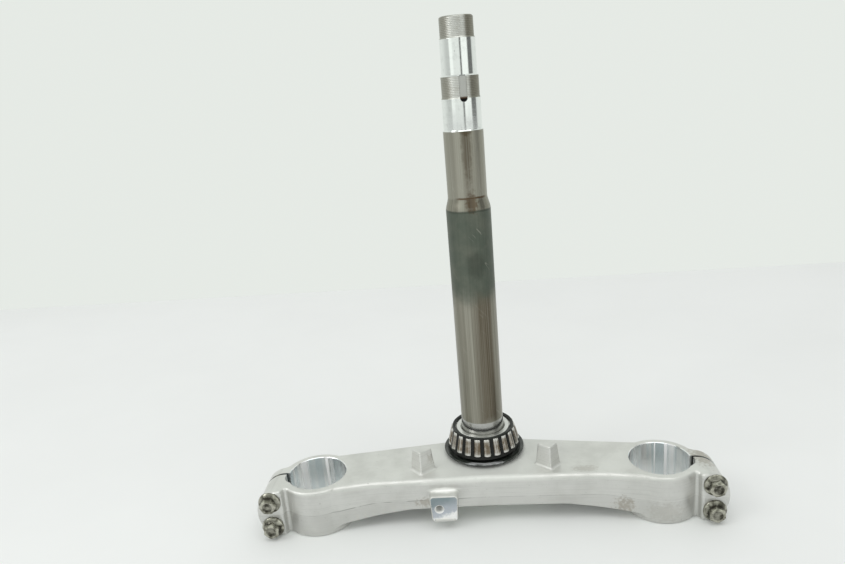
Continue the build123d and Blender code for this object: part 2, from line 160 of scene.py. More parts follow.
class BearingSettings(bpy.types.PropertyGroup):
    """Sizes and colours of the lower bearing and its seal."""

    big_rib_radius: length("Large rib", "Radius of the inner ring's large rib", 22.3 * MM)
    small_rib_radius: length("Small rib", "Radius of the inner ring's small rib", 19.2 * MM)
    bore_radius: length("Ring bore", "Radius of the inner ring's bore", 15.0 * MM)
    bore_round: length("Bore chamfer", "Chamfer of the inner ring's bore", 1.3 * MM)
    end_gap: length("End gap", "Play at a roller's ends", 0.15 * MM)
    running_gap: length("Running gap", "Play between a roller and its track", 0.05 * MM)
    pocket_gap: length("Pocket gap", "Play between a roller and its cage pocket", 0.15 * MM)
    cage_outer: length("Cage outside", "Outer face of the cage, out from the rollers' axes", 1.85 * MM)
    cage_inner: length("Cage inside", "Inner face of the cage, out from the rollers' axes", 0.4 * MM)
    cage_flange: length("Cage flange", "Edge of the cage's flange, out from the rollers' axes", -0.35 * MM)
    lower_rim: length("Lower rim", "Height of the cage's lower rim", 2.0 * MM)
    upper_rim: length("Upper rim", "Height of the cage's upper rim", 0.8 * MM)
    seal_bore: length("Seal bore", "Radius of the seal's bore", 15.3 * MM)
    seal_web: length("Seal web", "Thickness of the seal inside its lip", 2.3 * MM)
    seal_lip: length("Seal lip", "Width of the seal's lip", 2.6 * MM)
    seal_foot: length("Seal foot", "Radius of the seal where it stands on the clamp", 24.6 * MM)
    seal_rim: length("Seal rim", "Height where the seal's rim starts above its undercut", 2.2 * MM)
    roller: colour("Roller", "Colour of a roller", (0.64, 0.63, 0.60))
    varnish: colour("Varnish", "Brown film on the rollers", (0.17, 0.135, 0.095))
    ring: colour("Inner ring", "Colour of the ground inner ring", (0.70, 0.70, 0.68))
    cage: colour("Cage", "Colour of the black cage", (0.008, 0.0085, 0.0075))
    # Also the colour of the painted sheen on the cage's upper rim.
    cage_worn: colour("Worn cage", "Cage where its finish is rubbed", (0.035, 0.040, 0.034))
    seal: colour("Seal", "Colour of the rubber seal", (0.009, 0.013, 0.010))
    seal_film: colour("Seal film", "Oily film on the seal", (0.035, 0.043, 0.033))
    # Painted highlight on the front of the seal's lip.
    seal_glint: colour("Seal glint", "Bright oil on the front of the seal's lip", (0.42, 0.44, 0.44))


class BoltSettings(bpy.types.PropertyGroup):
    """Sizes and colours of the pinch bolts."""

    flange_radius: length("Flange radius", "Radius of the bolt's flange", 7.7 * MM)
    flange_rim: length("Flange rim", "Thickness of the flange at its rim", 1.2 * MM)
    flange_height: length("Flange height", "Height of the flange at the hexagon", 3.2 * MM)
    across_flats: length("Across flats", "Size of the hexagon", 10.0 * MM)
    head_height: length("Head height", "Height of the whole head", 6.8 * MM)
    dish_radius: length("Dish radius", "Radius of the dish in the head", 3.6 * MM)
    dish_depth: length("Dish depth", "Depth of the dish in the head", 0.7 * MM)
    shank_radius: length("Shank radius", "Radius over the thread", 3.9 * MM)
    shank_length: length("Shank length", "Length below the head", 30.0 * MM)
    thread_pitch: length("Thread pitch", "Distance between two turns of the thread", 1.25 * MM)
    thread_depth: length("Thread depth", "Depth of the thread", 0.6 * MM)
    plating: colour("Plating", "Colour of the dull plating", (0.50, 0.49, 0.42))
    tarnish: colour("Tarnish", "Darker tarnish on the plating", (0.13, 0.125, 0.095))
    # Grime, and painted shade in the dish and where the head meets its flange.
    dirt: colour("Dirt", "Dirt in the corners", (0.035, 0.033, 0.026))


class StageSettings(bpy.types.PropertyGroup):
    """Colours of the stage, levels of its light and the camera's lens."""

    floor: colour("Floor", "Colour of the floor", (0.855, 0.88, 0.86))
    backdrop: colour("Backdrop", "Colour of the background", (0.79, 0.825, 0.785))
    ambient: share("Ambient", "Light from all round", 0.74)
    overhead: FloatProperty(name="Overhead", description="Power of the lamp above", default=5.0, unit="POWER")
    side: FloatProperty(name="Side", description="Power of the lamp at the left", default=7.0, unit="POWER")
    focal: FloatProperty(
        name="Focal length", description="Camera's focal length in millimetres", default=29.04
    )


# Surfaces


def smooth(low, high, value):
    """Smooth step: 0 below low, 1 above high and 3t^2 - 2t^3 between them."""
    t = np.clip((value - low) / (high - low), 0.0, 1.0)
    return t * t * (3.0 - 2.0 * t)


def grid_quads(rows, columns, rows_close):
    """Corners of a grid's quads, points numbered row by row; columns close on themselves, and rows may."""
    row = np.arange(rows if rows_close else rows - 1)[:, None]
    column = np.arange(columns)[None, :]
    above = (row + 1) % rows
    beside = (column + 1) % columns
    corners = (
        row * columns + column,
        row * columns + beside,
        above * columns + beside,
        above * columns + column,
    )
    return np.stack(np.broadcast_arrays(*corners), axis=-1).reshape(-1, 4)


def turned_grid(radius, height, angle):
    """Surface of revolution: x = r sin a, y = -r cos a, z = h.

    It has a row for each height and a column for each angle.
    """
    radius, height, angle = np.broadcast_arrays(radius, height, angle)
    return np.stack([radius * np.sin(angle), -radius * np.cos(angle), height], axis=-1)


def even_angles(columns):
    """Angles of evenly spaced columns."""
    return np.arange(columns)[None, :] * 2.0 * pi / columns


def thread_wave(height, angle, pitch):
    """Depth of a screw thread from 0 at the crest to 1 at the root.

    It is a V along the helix h / pitch - a / 2 pi, made steeper about its middle and cut flat at both ends.
    """
    turn = (height / pitch - angle / (2.0 * pi)) % 1.0
    steepness = 1.25
    return np.clip(0.5 + steepness * (0.5 - np.abs(2.0 * turn - 1.0)), 0.0, 1.0)


def outward(points, quads, caps):
    """Turns all faces over where the volume inside them, summed over their triangles, comes out negative."""
    a, b, c, d = (points[quads[:, corner]] for corner in range(4))
    volume = np.sum(a * (np.cross(b, c) + np.cross(c, d)))
    for cap in caps:
        ring = points[cap]
        volume += np.sum(ring[0] * np.cross(ring[1:-1], ring[2:]))
    if volume < 0:
        return quads[:, ::-1], [cap[::-1] for cap in caps]
    return quads, caps


def end_caps(rows, columns):
    """Flat faces that close the first and last rows of a grid."""
    return [np.arange(columns)[::-1], (rows - 1) * columns + np.arange(columns)]


def fill_mesh(name, points, quads, caps=()):
    """A mesh from an array of points, an array of quads and any flat end faces, with all faces outward."""
    points = points.reshape(-1, 3)
    quads, caps = outward(points, quads, list(caps))
    mesh = bpy.data.meshes.new(name)
    mesh.from_pydata(points.tolist(), [], quads.tolist() + [cap.tolist() for cap in caps])
    return mesh


def shade(mesh, angle):
    """Smooth shading that keeps edges sharp where two faces turn by more than an angle."""
    mesh.shade_smooth()
    mesh.set_sharp_from_angle(angle=angle)


def keep_values(mesh, name, values, domain="POINT"):
    """A value at each point or corner, kept with the mesh for its material."""
    attribute = mesh.attributes.new(name, "FLOAT", domain)
    attribute.data.foreach_set("value", values.astype(np.float32).ravel())


def add_piece(mesh, body, nodes, materials):
    """A piece of the part: it shows a mesh, rides a body and stands for that body's CAD nodes."""
    piece = bpy.data.objects.new(mesh.name, mesh)
    bpy.context.scene.collection.objects.link(piece)
    for material in materials:
        mesh.materials.append(material)
    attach(piece, body)
    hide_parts(*nodes)
    return piece


def break_edges(piece, width):
    """A small rounded break along a piece's sharp edges."""
    bevel = piece.modifiers.new("Broken edges", "BEVEL")
    bevel.width = width
    bevel.segments = 2
    bevel.limit_method = "ANGLE"
    bevel.angle_limit = radians(35)


# Shader effects


# The Mix node's sockets when it mixes colours
MIX_MASK, MIX_FIRST, MIX_SECOND, MIX_RESULT = 0, 6, 7, 2


def add_node(tree, kind, **settings):
    """A node with its settings."""
    node = tree.nodes.new(kind)
    for name, value in settings.items():
        setattr(node, name, value)
    return node


def feed(tree, socket, value):
    """Links an output into a socket, or sets a plain value on it."""
    if isinstance(value, bpy.types.NodeSocket):
        tree.links.new(value, socket)
    elif isinstance(value, (int, float)):
        socket.default_value = value
    elif len(value) == 3 and socket.type == "RGBA":
        socket.default_value = (*value, 1.0)
    else:
        socket.default_value = value


def calc(tree, operation, *values):
    """One step of arithmetic on outputs and numbers."""
    node = add_node(tree, "ShaderNodeMath", operation=operation)
    for socket, value in zip(node.inputs, values):
        feed(tree, socket, value)
    return node.outputs[0]


def times(tree, product, *others):
    """Product of outputs and numbers."""
    for value in others:
        product = calc(tree, "MULTIPLY", product, value)
    return product


def calc_vector(tree, operation, *values):
    """One step of vector arithmetic."""
    node = add_node(tree, "ShaderNodeVectorMath", operation=operation)
    for socket, value in zip(node.inputs, values):
        feed(tree, socket, value)
    return node.outputs["Value"] if operation in {"DOT_PRODUCT", "LENGTH"} else node.outputs["Vector"]


def ramp(tree, value, low, high, first=0.0, last=1.0):
    """Smooth step of a value from first at low to last at high."""
    node = add_node(tree, "ShaderNodeMapRange", interpolation_type="SMOOTHSTEP")
    labels = ("Value", "From Min", "From Max", "To Min", "To Max")
    for label, given in zip(labels, (value, low, high, first, last)):
        feed(tree, node.inputs[label], given)
    return node.outputs["Result"]


def between(tree, mask, first, last):
    """A value that goes from first to last as a mask goes from 0 to 1."""
    return ramp(tree, mask, 0.0, 1.0, first, last)


def mix(tree, mask, first, second):
    """Mixes two colours by a mask."""
    node = add_node(tree, "ShaderNodeMix", data_type="RGBA")
    feed(tree, node.inputs[MIX_MASK], mask)
    feed(tree, node.inputs[MIX_FIRST], first)
    feed(tree, node.inputs[MIX_SECOND], second)
    return node.outputs[MIX_RESULT]


def lay(tree, tone, colour, mask, strength=1.0):
    """A tone with a colour laid over it where a mask is 1, at a strength."""
    return mix(tree, mask if strength == 1.0 else times(tree, mask, strength), tone, colour)


def darker(colour, level):
    """A colour at a lower level of brightness."""
    return tuple(level * value for value in colour)


def noise(tree, vector, scale, detail=3.0, rough=0.55):
    """Noise from 0 to 1."""
    node = add_node(tree, "ShaderNodeTexNoise")
    feed(tree, node.inputs["Vector"], vector)
    feed(tree, node.inputs["Scale"], scale)
    node.inputs["Detail"].default_value = detail
    node.inputs["Roughness"].default_value = rough
    return node.outputs["Fac"]


def place_on(tree):
    """The piece's own coordinates."""
    return add_node(tree, "ShaderNodeTexCoord").outputs["Object"]


def split(tree, vector):
    """X, Y and Z of a vector."""
    node = add_node(tree, "ShaderNodeSeparateXYZ")
    feed(tree, node.inputs[0], vector)
    return node.outputs


def out_from_axis(tree):
    """The way out from the stem's axis: the piece's own coordinates without their height."""
    return calc_vector(tree, "MULTIPLY", place_on(tree), (1.0, 1.0, 0.0))


def stretched_noise(tree, scales, detail, rough):
    """Noise on the piece's own coordinates, with a scale for each axis."""
    return noise(tree, calc_vector(tree, "MULTIPLY", place_on(tree), scales), 1.0, detail, rough)


def effect(name, given, result):
    """A new effect: its node tree, its named inputs and the socket for its result."""
    tree = bpy.data.node_groups.new(name, "ShaderNodeTree")
    for label, value in given.items():
        kind = "NodeSocketFloat" if isinstance(value, float) else "NodeSocketVector"
        socket = tree.interface.new_socket(name=label, in_out="INPUT", socket_type=kind)
        socket.default_value = value
    tree.interface.new_socket(name=result, in_out="OUTPUT", socket_type="NodeSocketFloat")
    start = add_node(tree, "NodeGroupInput").outputs
    return tree, start, add_node(tree, "NodeGroupOutput").inputs[0]


def mottle():
    """Clouds: noise on the piece's coordinates, spread between a low and a high level."""
    tree, given, result = effect("Mottle", {"Scale": 100.0, "Low": 0.35, "High": 0.65}, "Mask")
    clouds = noise(tree, place_on(tree), given["Scale"], 5.0, 0.6)
    feed(tree, result, ramp(tree, clouds, given["Low"], given["High"]))
    return tree


def streaks():
    """Streaks along Z: noise that varies quickly round the stem's axis and slowly along it."""
    start = {"Round": 20.0, "Along": 8.0, "Low": 0.4, "High": 0.6}
    tree, given, result = effect("Streaks", start, "Mask")
    spread = add_node(tree, "ShaderNodeVectorMath", operation="SCALE")
    feed(tree, spread.inputs[0], calc_vector(tree, "NORMALIZE", out_from_axis(tree)))
    feed(tree, spread.inputs["Scale"], given["Round"])
    lift = add_node(tree, "ShaderNodeCombineXYZ")
    feed(tree, lift.inputs["Z"], times(tree, split(tree, place_on(tree))["Z"], given["Along"]))
    lines = noise(tree, calc_vector(tree, "ADD", spread.outputs[0], lift.outputs[0]), 1.0, 4.0, 0.6)
    feed(tree, result, ramp(tree, lines, given["Low"], given["High"]))
    return tree


def level_band():
    """Band between two heights, with a soft edge that wavers with noise."""
    start = {"Bottom": 0.0, "Top": 0.1, "Edge": 0.002, "Waver": 0.0}
    tree, given, result = effect("Level band", start, "Mask")
    place = place_on(tree)
    shift = calc(tree, "SUBTRACT", noise(tree, place, 130.0, 3.0), 0.5)
    level = calc(tree, "MULTIPLY_ADD", shift, given["Waver"], split(tree, place)["Z"])
    above = ramp(tree, level, given["Bottom"], calc(tree, "ADD", given["Bottom"], given["Edge"]))
    below = ramp(tree, level, calc(tree, "SUBTRACT", given["Top"], given["Edge"]), given["Top"], 1.0, 0.0)
    feed(tree, result, times(tree, above, below))
    return tree


def stain():
    """Patch round a centre: 1 inside an ellipsoid of the given reach, with a ragged edge from noise."""
    start = {"Centre": (0.0, 0.0, 0.0), "Reach": (0.01, 0.01, 0.01), "Ragged": 0.8, "Scale": 300.0}
    tree, given, result = effect("Stain", start, "Mask")
    place = place_on(tree)
    offset = calc_vector(tree, "SUBTRACT", place, given["Centre"])
    offset = calc_vector(tree, "DIVIDE", offset, given["Reach"])
    grain = calc(tree, "SUBTRACT", noise(tree, place, given["Scale"], 4.0), 0.5)
    edge = calc(tree, "MULTIPLY_ADD", grain, given["Ragged"], calc_vector(tree, "LENGTH", offset))
    feed(tree, result, ramp(tree, edge, 0.35, 1.0, 1.0, 0.0))
    return tree


def facing():
    """Side of the stem: 1 where the direction out from the axis is close to a given one."""
    start = {"Direction": (0.0, -1.0, 0.0), "Low": 0.8, "High": 0.95}
    tree, given, result = effect("Facing", start, "Mask")
    outward_way = calc_vector(tree, "NORMALIZE", out_from_axis(tree))
    likeness = calc_vector(tree, "DOT_PRODUCT", outward_way, given["Direction"])
    feed(tree, result, ramp(tree, likeness, given["Low"], given["High"]))
    return tree


def scratches():
    """Straight fine scratches: thin lines where noise passes its middle.

    The noise is stretched along a slant on the unrolled tube, and shows in patches.
    """
    start = {"Slant": 0.5, "Radius": 0.015, "Scale": 300.0, "Width": 0.01, "Patch": 90.0}
    tree, given, result = effect("Scratches", start, "Mask")
    x, y, height = split(tree, place_on(tree))
    turn = calc(tree, "ARCTAN2", x, times(tree, y, -1.0))
    arc = times(tree, turn, given["Radius"])
    cosine = calc(tree, "COSINE", given["Slant"])
    sine = calc(tree, "SINE", given["Slant"])
    across = calc(tree, "SUBTRACT", times(tree, arc, cosine), times(tree, height, sine))
    along = calc(tree, "ADD", times(tree, arc, sine), times(tree, height, cosine))
    unrolled = add_node(tree, "ShaderNodeCombineXYZ")
    feed(tree, unrolled.inputs["X"], across)
    feed(tree, unrolled.inputs["Y"], times(tree, along, 0.04))
    wave = noise(tree, unrolled.outputs[0], given["Scale"], 0.0, 0.5)
    from_middle = calc(tree, "ABSOLUTE", calc(tree, "SUBTRACT", wave, 0.5))
    line = ramp(tree, from_middle, 0.0, given["Width"], 1.0, 0.0)
    short = calc_vector(tree, "MULTIPLY", unrolled.outputs[0], (1.0, 9.0, 1.0))
    shown = ramp(tree, noise(tree, short, given["Patch"], 0.0), 0.62, 0.7)
    feed(tree, result, times(tree, line, shown))
    return tree


def parting():
    """Mould's lower half: 1 below a line, level along the bar, that falls by a slope towards the rings."""
    start = {"Level": -0.0151, "Straight": 0.078, "Slope": 0.11, "Lowest": -0.0178, "Edge": 0.00025}
    tree, given, result = effect("Parting", start, "Mask")
    x, _, z = split(tree, place_on(tree))
    beyond = calc(tree, "SUBTRACT", calc(tree, "ABSOLUTE", x), given["Straight"])
    fall = times(tree, calc(tree, "MAXIMUM", beyond, 0.0), given["Slope"])
    line = calc(tree, "MAXIMUM", calc(tree, "SUBTRACT", given["Level"], fall), given["Lowest"])
    feed(tree, result, ramp(tree, calc(tree, "SUBTRACT", line, z), 0.0, given["Edge"]))
    return tree


def apply(tree, build, **values):
    """Places an effect in a material, built on first use, with this material's own values."""
    name = build.__name__.replace("_", " ").capitalize()
    node = add_node(tree, "ShaderNodeGroup", node_tree=bpy.data.node_groups.get(name) or build())
    for label, value in values.items():
        feed(tree, node.inputs[label], value)
    return node.outputs[0]


def clouded(tree, scale, low, high):
    """The clouds effect with its scale and levels."""
    return apply(tree, mottle, Scale=scale, Low=low, High=high)


def streaked(tree, around, along, low, high):
    """The streaks effect with its scales and levels."""
    return apply(tree, streaks, Round=around, Along=along, Low=low, High=high)


def side_of_stem(tree, x, y, low, high):
    """The facing effect for a level direction."""
    return apply(tree, facing, Direction=(x, y, 0.0), Low=low, High=high)


def band(tree, bottom, top, edge, waver):
    """The level band effect with its heights in millimetres."""
    return apply(tree, level_band, Bottom=bottom * MM, Top=top * MM, Edge=edge * MM, Waver=waver * MM)


def patch(tree, centre, reach, ragged, scale=300.0):
    """The stain effect with its centre and reach in millimetres."""
    return apply(tree, stain, Centre=in_mm(*centre), Reach=in_mm(*reach), Ragged=ragged, Scale=scale)


def kept_value(tree, name):
    """A value kept at the piece's points."""
    return add_node(tree, "ShaderNodeAttribute", attribute_name=name).outputs["Fac"]


def new_material(name, **sockets):
    """A material with its Principled shader and the values that are the same all over it."""
    material = bpy.data.materials.new(name)
    material.use_nodes = True
    tree = material.node_tree
    shader = tree.nodes["Principled BSDF"]
    for label, value in sockets.items():
        feed(tree, shader.inputs[label.replace("_", " ")], value)
    return material, tree, shader.inputs


def raise_relief(tree, shader, height, depth):
    """Feeds a height into the shader's normal, at a depth in metres."""
    bump = add_node(tree, "ShaderNodeBump")
    bump.inputs["Strength"].default_value = 1.0
    bump.inputs["Distance"].default_value = depth
    feed(tree, bump.inputs["Height"], height)
    feed(tree, shader["Normal"], bump.outputs["Normal"])


# Finishes


def cast_aluminium(look):
    """Satin cast skin: grey clouds, fine pits and brown stains, with painted shade on the upright walls.

    A painted dark line, the shade under the small step where the mould parted, runs along the walls, and the
    walls below it take more painted shade. The skin is matt round the stem, and the top of the hose lug has a
    painted highlight.
    """
    material, tree, shader = new_material("Cast aluminium")
    clouds = clouded(tree, 38.0, 0.35, 0.7)
    blotches = clouded(tree, 160.0, 0.5, 0.75)
    pits = clouded(tree, 620.0, 0.64, 0.72)
    tone = mix(tree, clouds, look.skin, look.shade)
    tone = lay(tree, tone, look.shade, blotches, 0.25)
    tone = lay(tree, tone, look.grime, pits, 0.4)
    x, _, z = split(tree, place_on(tree))
    # Painted shade: the upright walls are laid with a darker tone.
    upright = kept_value(tree, "wall")
    wall = times(tree, upright, ramp(tree, z, 0.3 * MM, 1.5 * MM, 1.0, 0.0))
    dull_and_shade = darker(look.shade, 0.74)
    tone = lay(tree, tone, dull_and_shade, wall, 0.30)
    # Painted shade: the walls below the parting line are darker still, and a dark line marks the shade under the
    # parting step.
    lower = apply(tree, parting)
    below_line = apply(tree, parting, Level=-15.5 * MM, Lowest=-18.2 * MM, Edge=0.4 * MM)
    line = calc(tree, "SUBTRACT", lower, below_line)
    tone = lay(tree, tone, dull_and_shade, times(tree, lower, wall), 0.22)
    sanded = stretched_noise(tree, (26.0, 26.0, 1300.0), 2.0, 0.5)
    tone = lay(tree, tone, dull_and_shade, ramp(tree, sanded, 0.45, 0.8, 0.0, 0.4))
    broken = clouded(tree, 85.0, 0.38, 0.6)
    inner = ramp(tree, calc(tree, "ABSOLUTE", x), 92.0 * MM, 118.0 * MM, 1.0, 0.3)
    left = ramp(tree, x, -40.0 * MM, 10.0 * MM, 1.0, 0.3)
    tone = lay(tree, tone, darker(look.shade, 0.42), times(tree, line, wall, broken, inner, left))
    ring = Vector(mounts["right_fork_clamp"]["pos_m"]) / MM
    lug = Vector(mounts["hose_lug_hole"]["pos_m"]) / MM
    beside_ring = ring + Vector((-27.0, -16.0, -6.0))
    below_ring = ring + Vector((-2.0, -26.0, -8.0))
    in_valley = (-ring.x - 22.0, ring.y - 17.0, ring.z - 2.0)
    beside_lug = lug + Vector((-10.0, 4.0, 1.0))
    beside_stop = (68.0, -33.0, 0.0)
    on_stop = (-37.0, -27.0, 9.0)
    on_ear = (ring.x + 30.0, ring.y + 1.0, 0.0)
    for centre, reach, strength in (
        (beside_ring, (9.0, 9.0, 9.0), 0.55),
        (below_ring, (16.0, 7.0, 9.0), 0.16),
        (in_valley, (4.0, 5.0, 16.0), 0.15),
        (beside_lug, (9.0, 8.0, 5.0), 0.45),
        (beside_stop, (11.0, 5.0, 4.0), 0.22),
        (on_stop, (4.0, 4.0, 5.0), 0.30),
        (on_ear, (14.0, 14.0, 8.0), 0.48),
    ):
        tone = lay(tree, tone, look.stain, patch(tree, centre, reach, 2.4, 520.0), strength)
    from_stem = calc_vector(tree, "LENGTH", out_from_axis(tree))
    bare = calc(tree, "MAXIMUM", ramp(tree, from_stem, 34.0 * MM, 66.0 * MM, 0.1, 1.0), upright)
    feed(tree, shader["Metallic"], bare)
    tone = lay(tree, tone, look.matt, between(tree, bare, 0.6, 0.0))
    # Painted highlight: the top of the hose lug is laid near white, for the light it catches from above.
    lug_top = patch(tree, (-29.5, -39.0, -7.6), (14.0, 6.0, 2.4), 0.3)
    feed(tree, shader["Base Color"], lay(tree, tone, look.rubbed_skin, lug_top))
    feed(tree, shader["Roughness"], between(tree, clouds, 0.42, 0.54))
    grain = noise(tree, place_on(tree), 900.0, 3.0, 0.6)
    waves = noise(tree, place_on(tree), 180.0, 2.0, 0.5)
    height = calc(tree, "MULTIPLY_ADD", waves, 1.6, calc(tree, "SUBTRACT", grain, pits))
    raise_relief(tree, shader, height, 0.07 * MM)
    return material


def bored_aluminium(look):
    """Bright bored faces: fine tool lines round the bore, and painted reflections along it: grey bands and lines,
    and bright matt stripes.
    """
    material, tree, shader = new_material("Bored aluminium")
    tool = stretched_noise(tree, (20.0, 20.0, 2600.0), 3.0, 0.6)
    bands = stretched_noise(tree, (105.0, 105.0, 5.0), 1.0, 0.4)
    lines = stretched_noise(tree, (330.0, 330.0, 9.0), 2.0, 0.5)
    # Painted reflection: grey bands and lines along the bore stand in for the room mirrored in it.
    tone = mix(tree, ramp(tree, bands, 0.47, 0.56, 0.0, 0.9), look.bored, look.rubbed)
    tone = lay(tree, tone, look.rubbed, ramp(tree, lines, 0.52, 0.66, 0.0, 0.5))
    # Painted reflection: matt stripes in the bright bore colour where bright reflections run down the bores.
    matt = 0.0
    for x, y, reach, strength in (
        (121.9, -3.2, 0.7, 0.9),
        (129.2, -5.3, 1.7, 1.0),
        (132.6, -7.4, 4.0, 0.5),
        (113.7, -4.1, 4.0, 0.35),
        (-117.6, -3.2, 1.6, 1.0),
        (-113.9, -4.0, 2.5, 0.45),
        (-133.4, -8.1, 5.0, 0.55),
    ):
        painted_highlight_stripe = patch(tree, (x, y, -15.0), (reach, reach, 400.0), 0.0)
        matt = calc(tree, "MAXIMUM", matt, times(tree, painted_highlight_stripe, strength))
    feed(tree, shader["Base Color"], lay(tree, tone, look.bored, matt))
    feed(tree, shader["Metallic"], between(tree, matt, 1.0, 0.1))
    feed(tree, shader["Roughness"], ramp(tree, bands, 0.35, 0.65, 0.14, 0.24))
    height = calc(tree, "MULTIPLY_ADD", bands, 14.0, calc(tree, "MULTIPLY_ADD", lines, 0.8, tool))
    raise_relief(tree, shader, height, 0.014 * MM)
    return material


def tapped_aluminium(look):
    """Bright tapped hole: its thread's turns as rings along Y, rough enough to scatter light at its mouth."""
    material, tree, shader = new_material("Tapped aluminium", Metallic=1.0, Base_Color=look.tapped)
    half_pitch = 0.4 * MM
    turns = calc(tree, "PINGPONG", split(tree, place_on(tree))["Y"], half_pitch)
    worn = clouded(tree, 500.0, 0.35, 0.65)
    feed(tree, shader["Roughness"], between(tree, worn, 0.45, 0.65))
    raise_relief(tree, shader, calc(tree, "DIVIDE", turns, half_pitch), 0.3 * MM)
    return material


def milled_aluminium(look):
    """Flat milled face with fine cutter lines across it: a painted reflection makes its foot bright, and painted
    shade darkens it towards its top.
    """
    material, tree, shader = new_material("Milled aluminium", Metallic=1.0)
    x, _, z = split(tree, place_on(tree))
    hole = Vector(mounts["hose_lug_hole"]["pos_m"])
    tool = stretched_noise(tree, (60.0, 60.0, 1500.0), 3.0, 0.6)
    clouds = clouded(tree, 170.0, 0.3, 0.75)
    level = calc(tree, "MULTIPLY_ADD", calc(tree, "SUBTRACT", clouds, 0.5), 3.0 * MM, z)
    level = calc(tree, "MULTIPLY_ADD", calc(tree, "SUBTRACT", x, hole.x), -0.35, level)
    # Painted light: the foot is laid in the bright bored colour as a reflection, the top darker as shade.
    tone = mix(tree, ramp(tree, level, hole.z - 8.0 * MM, hole.z - 4.5 * MM), look.bored, look.milled)
    tone = lay(tree, tone, look.dulled, ramp(tree, level, hole.z - 5.0 * MM, hole.z + 7.0 * MM))
    feed(tree, shader["Base Color"], tone)
    feed(tree, shader["Roughness"], ramp(tree, tool, 0.3, 0.7, 0.26, 0.40))
    raise_relief(tree, shader, tool, 0.015 * MM)
    return material


def drawn_tube(look):
    """Bare tube: drawn streaks, a painted highlight down its left front and a brown film, with a dark band and
    rust at the taper and painted shade in a line where the taper starts.
    """
    material, tree, shader = new_material("Drawn tube", Metallic=1.0)
    fine = streaked(tree, 22.0, 9.0, 0.3, 0.72)
    broad = streaked(tree, 5.0, 6.0, 0.38, 0.64)
    hair = streaked(tree, 70.0, 7.0, 0.46, 0.66)
    tone = lay(tree, look.tube, look.brown, fine, 0.46)
    tone = lay(tree, tone, look.pale, broad, 0.22)
    # Painted highlight: a pale band down the tube, left of its front.
    painted_highlight_stripe = side_of_stem(tree, -0.326, -0.946, 0.972, 0.998)
    tone = lay(tree, tone, look.pale, painted_highlight_stripe, calc(tree, "MULTIPLY_ADD", fine, -0.3, 0.42))
    groove = side_of_stem(tree, 0.0, -1.0, 0.991, 0.9995)
    tone = lay(tree, tone, look.brown, groove, 0.35)
    film = side_of_stem(tree, 0.45, -0.893, 0.88, 0.975)
    film = times(tree, film, ramp(tree, fine, 0.0, 0.9, 0.95, 0.55))
    low_tube = band(tree, bottom=24.0, top=134.0, edge=9.0, waver=14.0)
    tone = lay(tree, tone, look.brown, film, low_tube)
    tone = lay(tree, tone, look.pale, hair, 0.42)
    neck = band(tree, bottom=186.0, top=232.0, edge=2.0, waver=3.0)
    tone = lay(tree, tone, look.pale, neck, 0.32)
    run = patch(tree, (1.5, -13.0, 222.0), (4.6, 6.0, 34.0), 0.9, 420.0)
    tone = lay(tree, tone, look.brown, run, calc(tree, "MULTIPLY_ADD", fine, 0.5, 0.3))
    mouth = patch(tree, (1.5, -13.0, 230.5), (5.0, 6.0, 5.0), 1.2, 500.0)
    tone = lay(tree, tone, look.brown, mouth, 0.75)
    above_fade = band(tree, bottom=111.0, top=260.0, edge=17.0, waver=12.0)
    below_taper = band(tree, bottom=0.0, top=180.0, edge=2.0, waver=2.0)
    dark = times(tree, above_fade, below_taper)
    smudge = clouded(tree, 70.0, 0.3, 0.8)
    dark_tone = lay(tree, look.hardened, look.tube, smudge, 0.35)
    deep = patch(tree, (3.5, -14.5, 143.0), (9.0, 8.0, 13.0), 0.8, 200.0)
    dark_tone = lay(tree, dark_tone, darker(look.hardened, 0.5), deep, 0.55)
    tone = lay(tree, tone, dark_tone, dark, 0.95)
    marks = apply(tree, scratches, Slant=-0.7, Scale=240.0, Width=0.012, Patch=260.0)
    tone = lay(tree, tone, look.pale, marks, 0.4)
    ring = band(tree, bottom=186.4, top=188.4, edge=0.8, waver=1.6)
    # Painted shade: a dark line round the tube where the taper starts.
    step = band(tree, bottom=177.6, top=179.8, edge=0.9, waver=1.6)
    front = side_of_stem(tree, 0.25, -0.968, 0.55, 0.85)
    rusty = patch(tree, (3.0, -13.8, 184.5), (5.5, 5.0, 9.5), 1.5, 430.0)
    rust = calc(tree, "MAXIMUM", times(tree, ring, front), times(tree, rusty, 0.75))
    tone = lay(tree, tone, look.rust, rust, 0.85)
    tone = lay(tree, tone, darker(look.hardened, 0.6), step, 0.6)
    feed(tree, shader["Base Color"], tone)
    rough = between(tree, fine, 0.30, 0.42)
    feed(tree, shader["Roughness"], calc(tree, "MULTIPLY_ADD", dark, 0.12, rough))
    raise_relief(tree, shader, calc(tree, "SUBTRACT", times(tree, fine, 0.5), marks), 0.02 * MM)
    return material


def ground_steel(name, tint, low, high):
    """Ground and polished steel: fine rings round the axis and a few dark pits down the front.

    Its roughness lies between low and high, and the keyway's round end is painted nearly black as shade.
    """
    material, tree, shader = new_material(name, Metallic=1.0)
    lines = stretched_noise(tree, (30.0, 30.0, 3000.0), 2.0, 0.6)
    worn = clouded(tree, 210.0, 0.5, 0.75)
    pits = clouded(tree, 700.0, 0.66, 0.70)
    column = side_of_stem(tree, -0.16, -0.987, 0.985, 0.997)
    spots = times(tree, pits, calc(tree, "MULTIPLY_ADD", column, 0.85, 0.12))
    # Painted shade: the keyway's round end, a shadowed hole, is laid nearly black.
    keyway_end = times(tree, kept_value(tree, "slot"), kept_value(tree, "root"))
    tone = lay(tree, tint, darker(tint, 0.72), worn, 0.5)
    tone = lay(tree, tone, darker(tint, 0.035), keyway_end)
    feed(tree, shader["Base Color"], lay(tree, tone, darker(tint, 0.16), spots))
    feed(tree, shader["Roughness"], ramp(tree, lines, 0.3, 0.7, low, high))
    raise_relief(tree, shader, calc(tree, "SUBTRACT", times(tree, lines, 0.3), spots), 0.02 * MM)
    return material


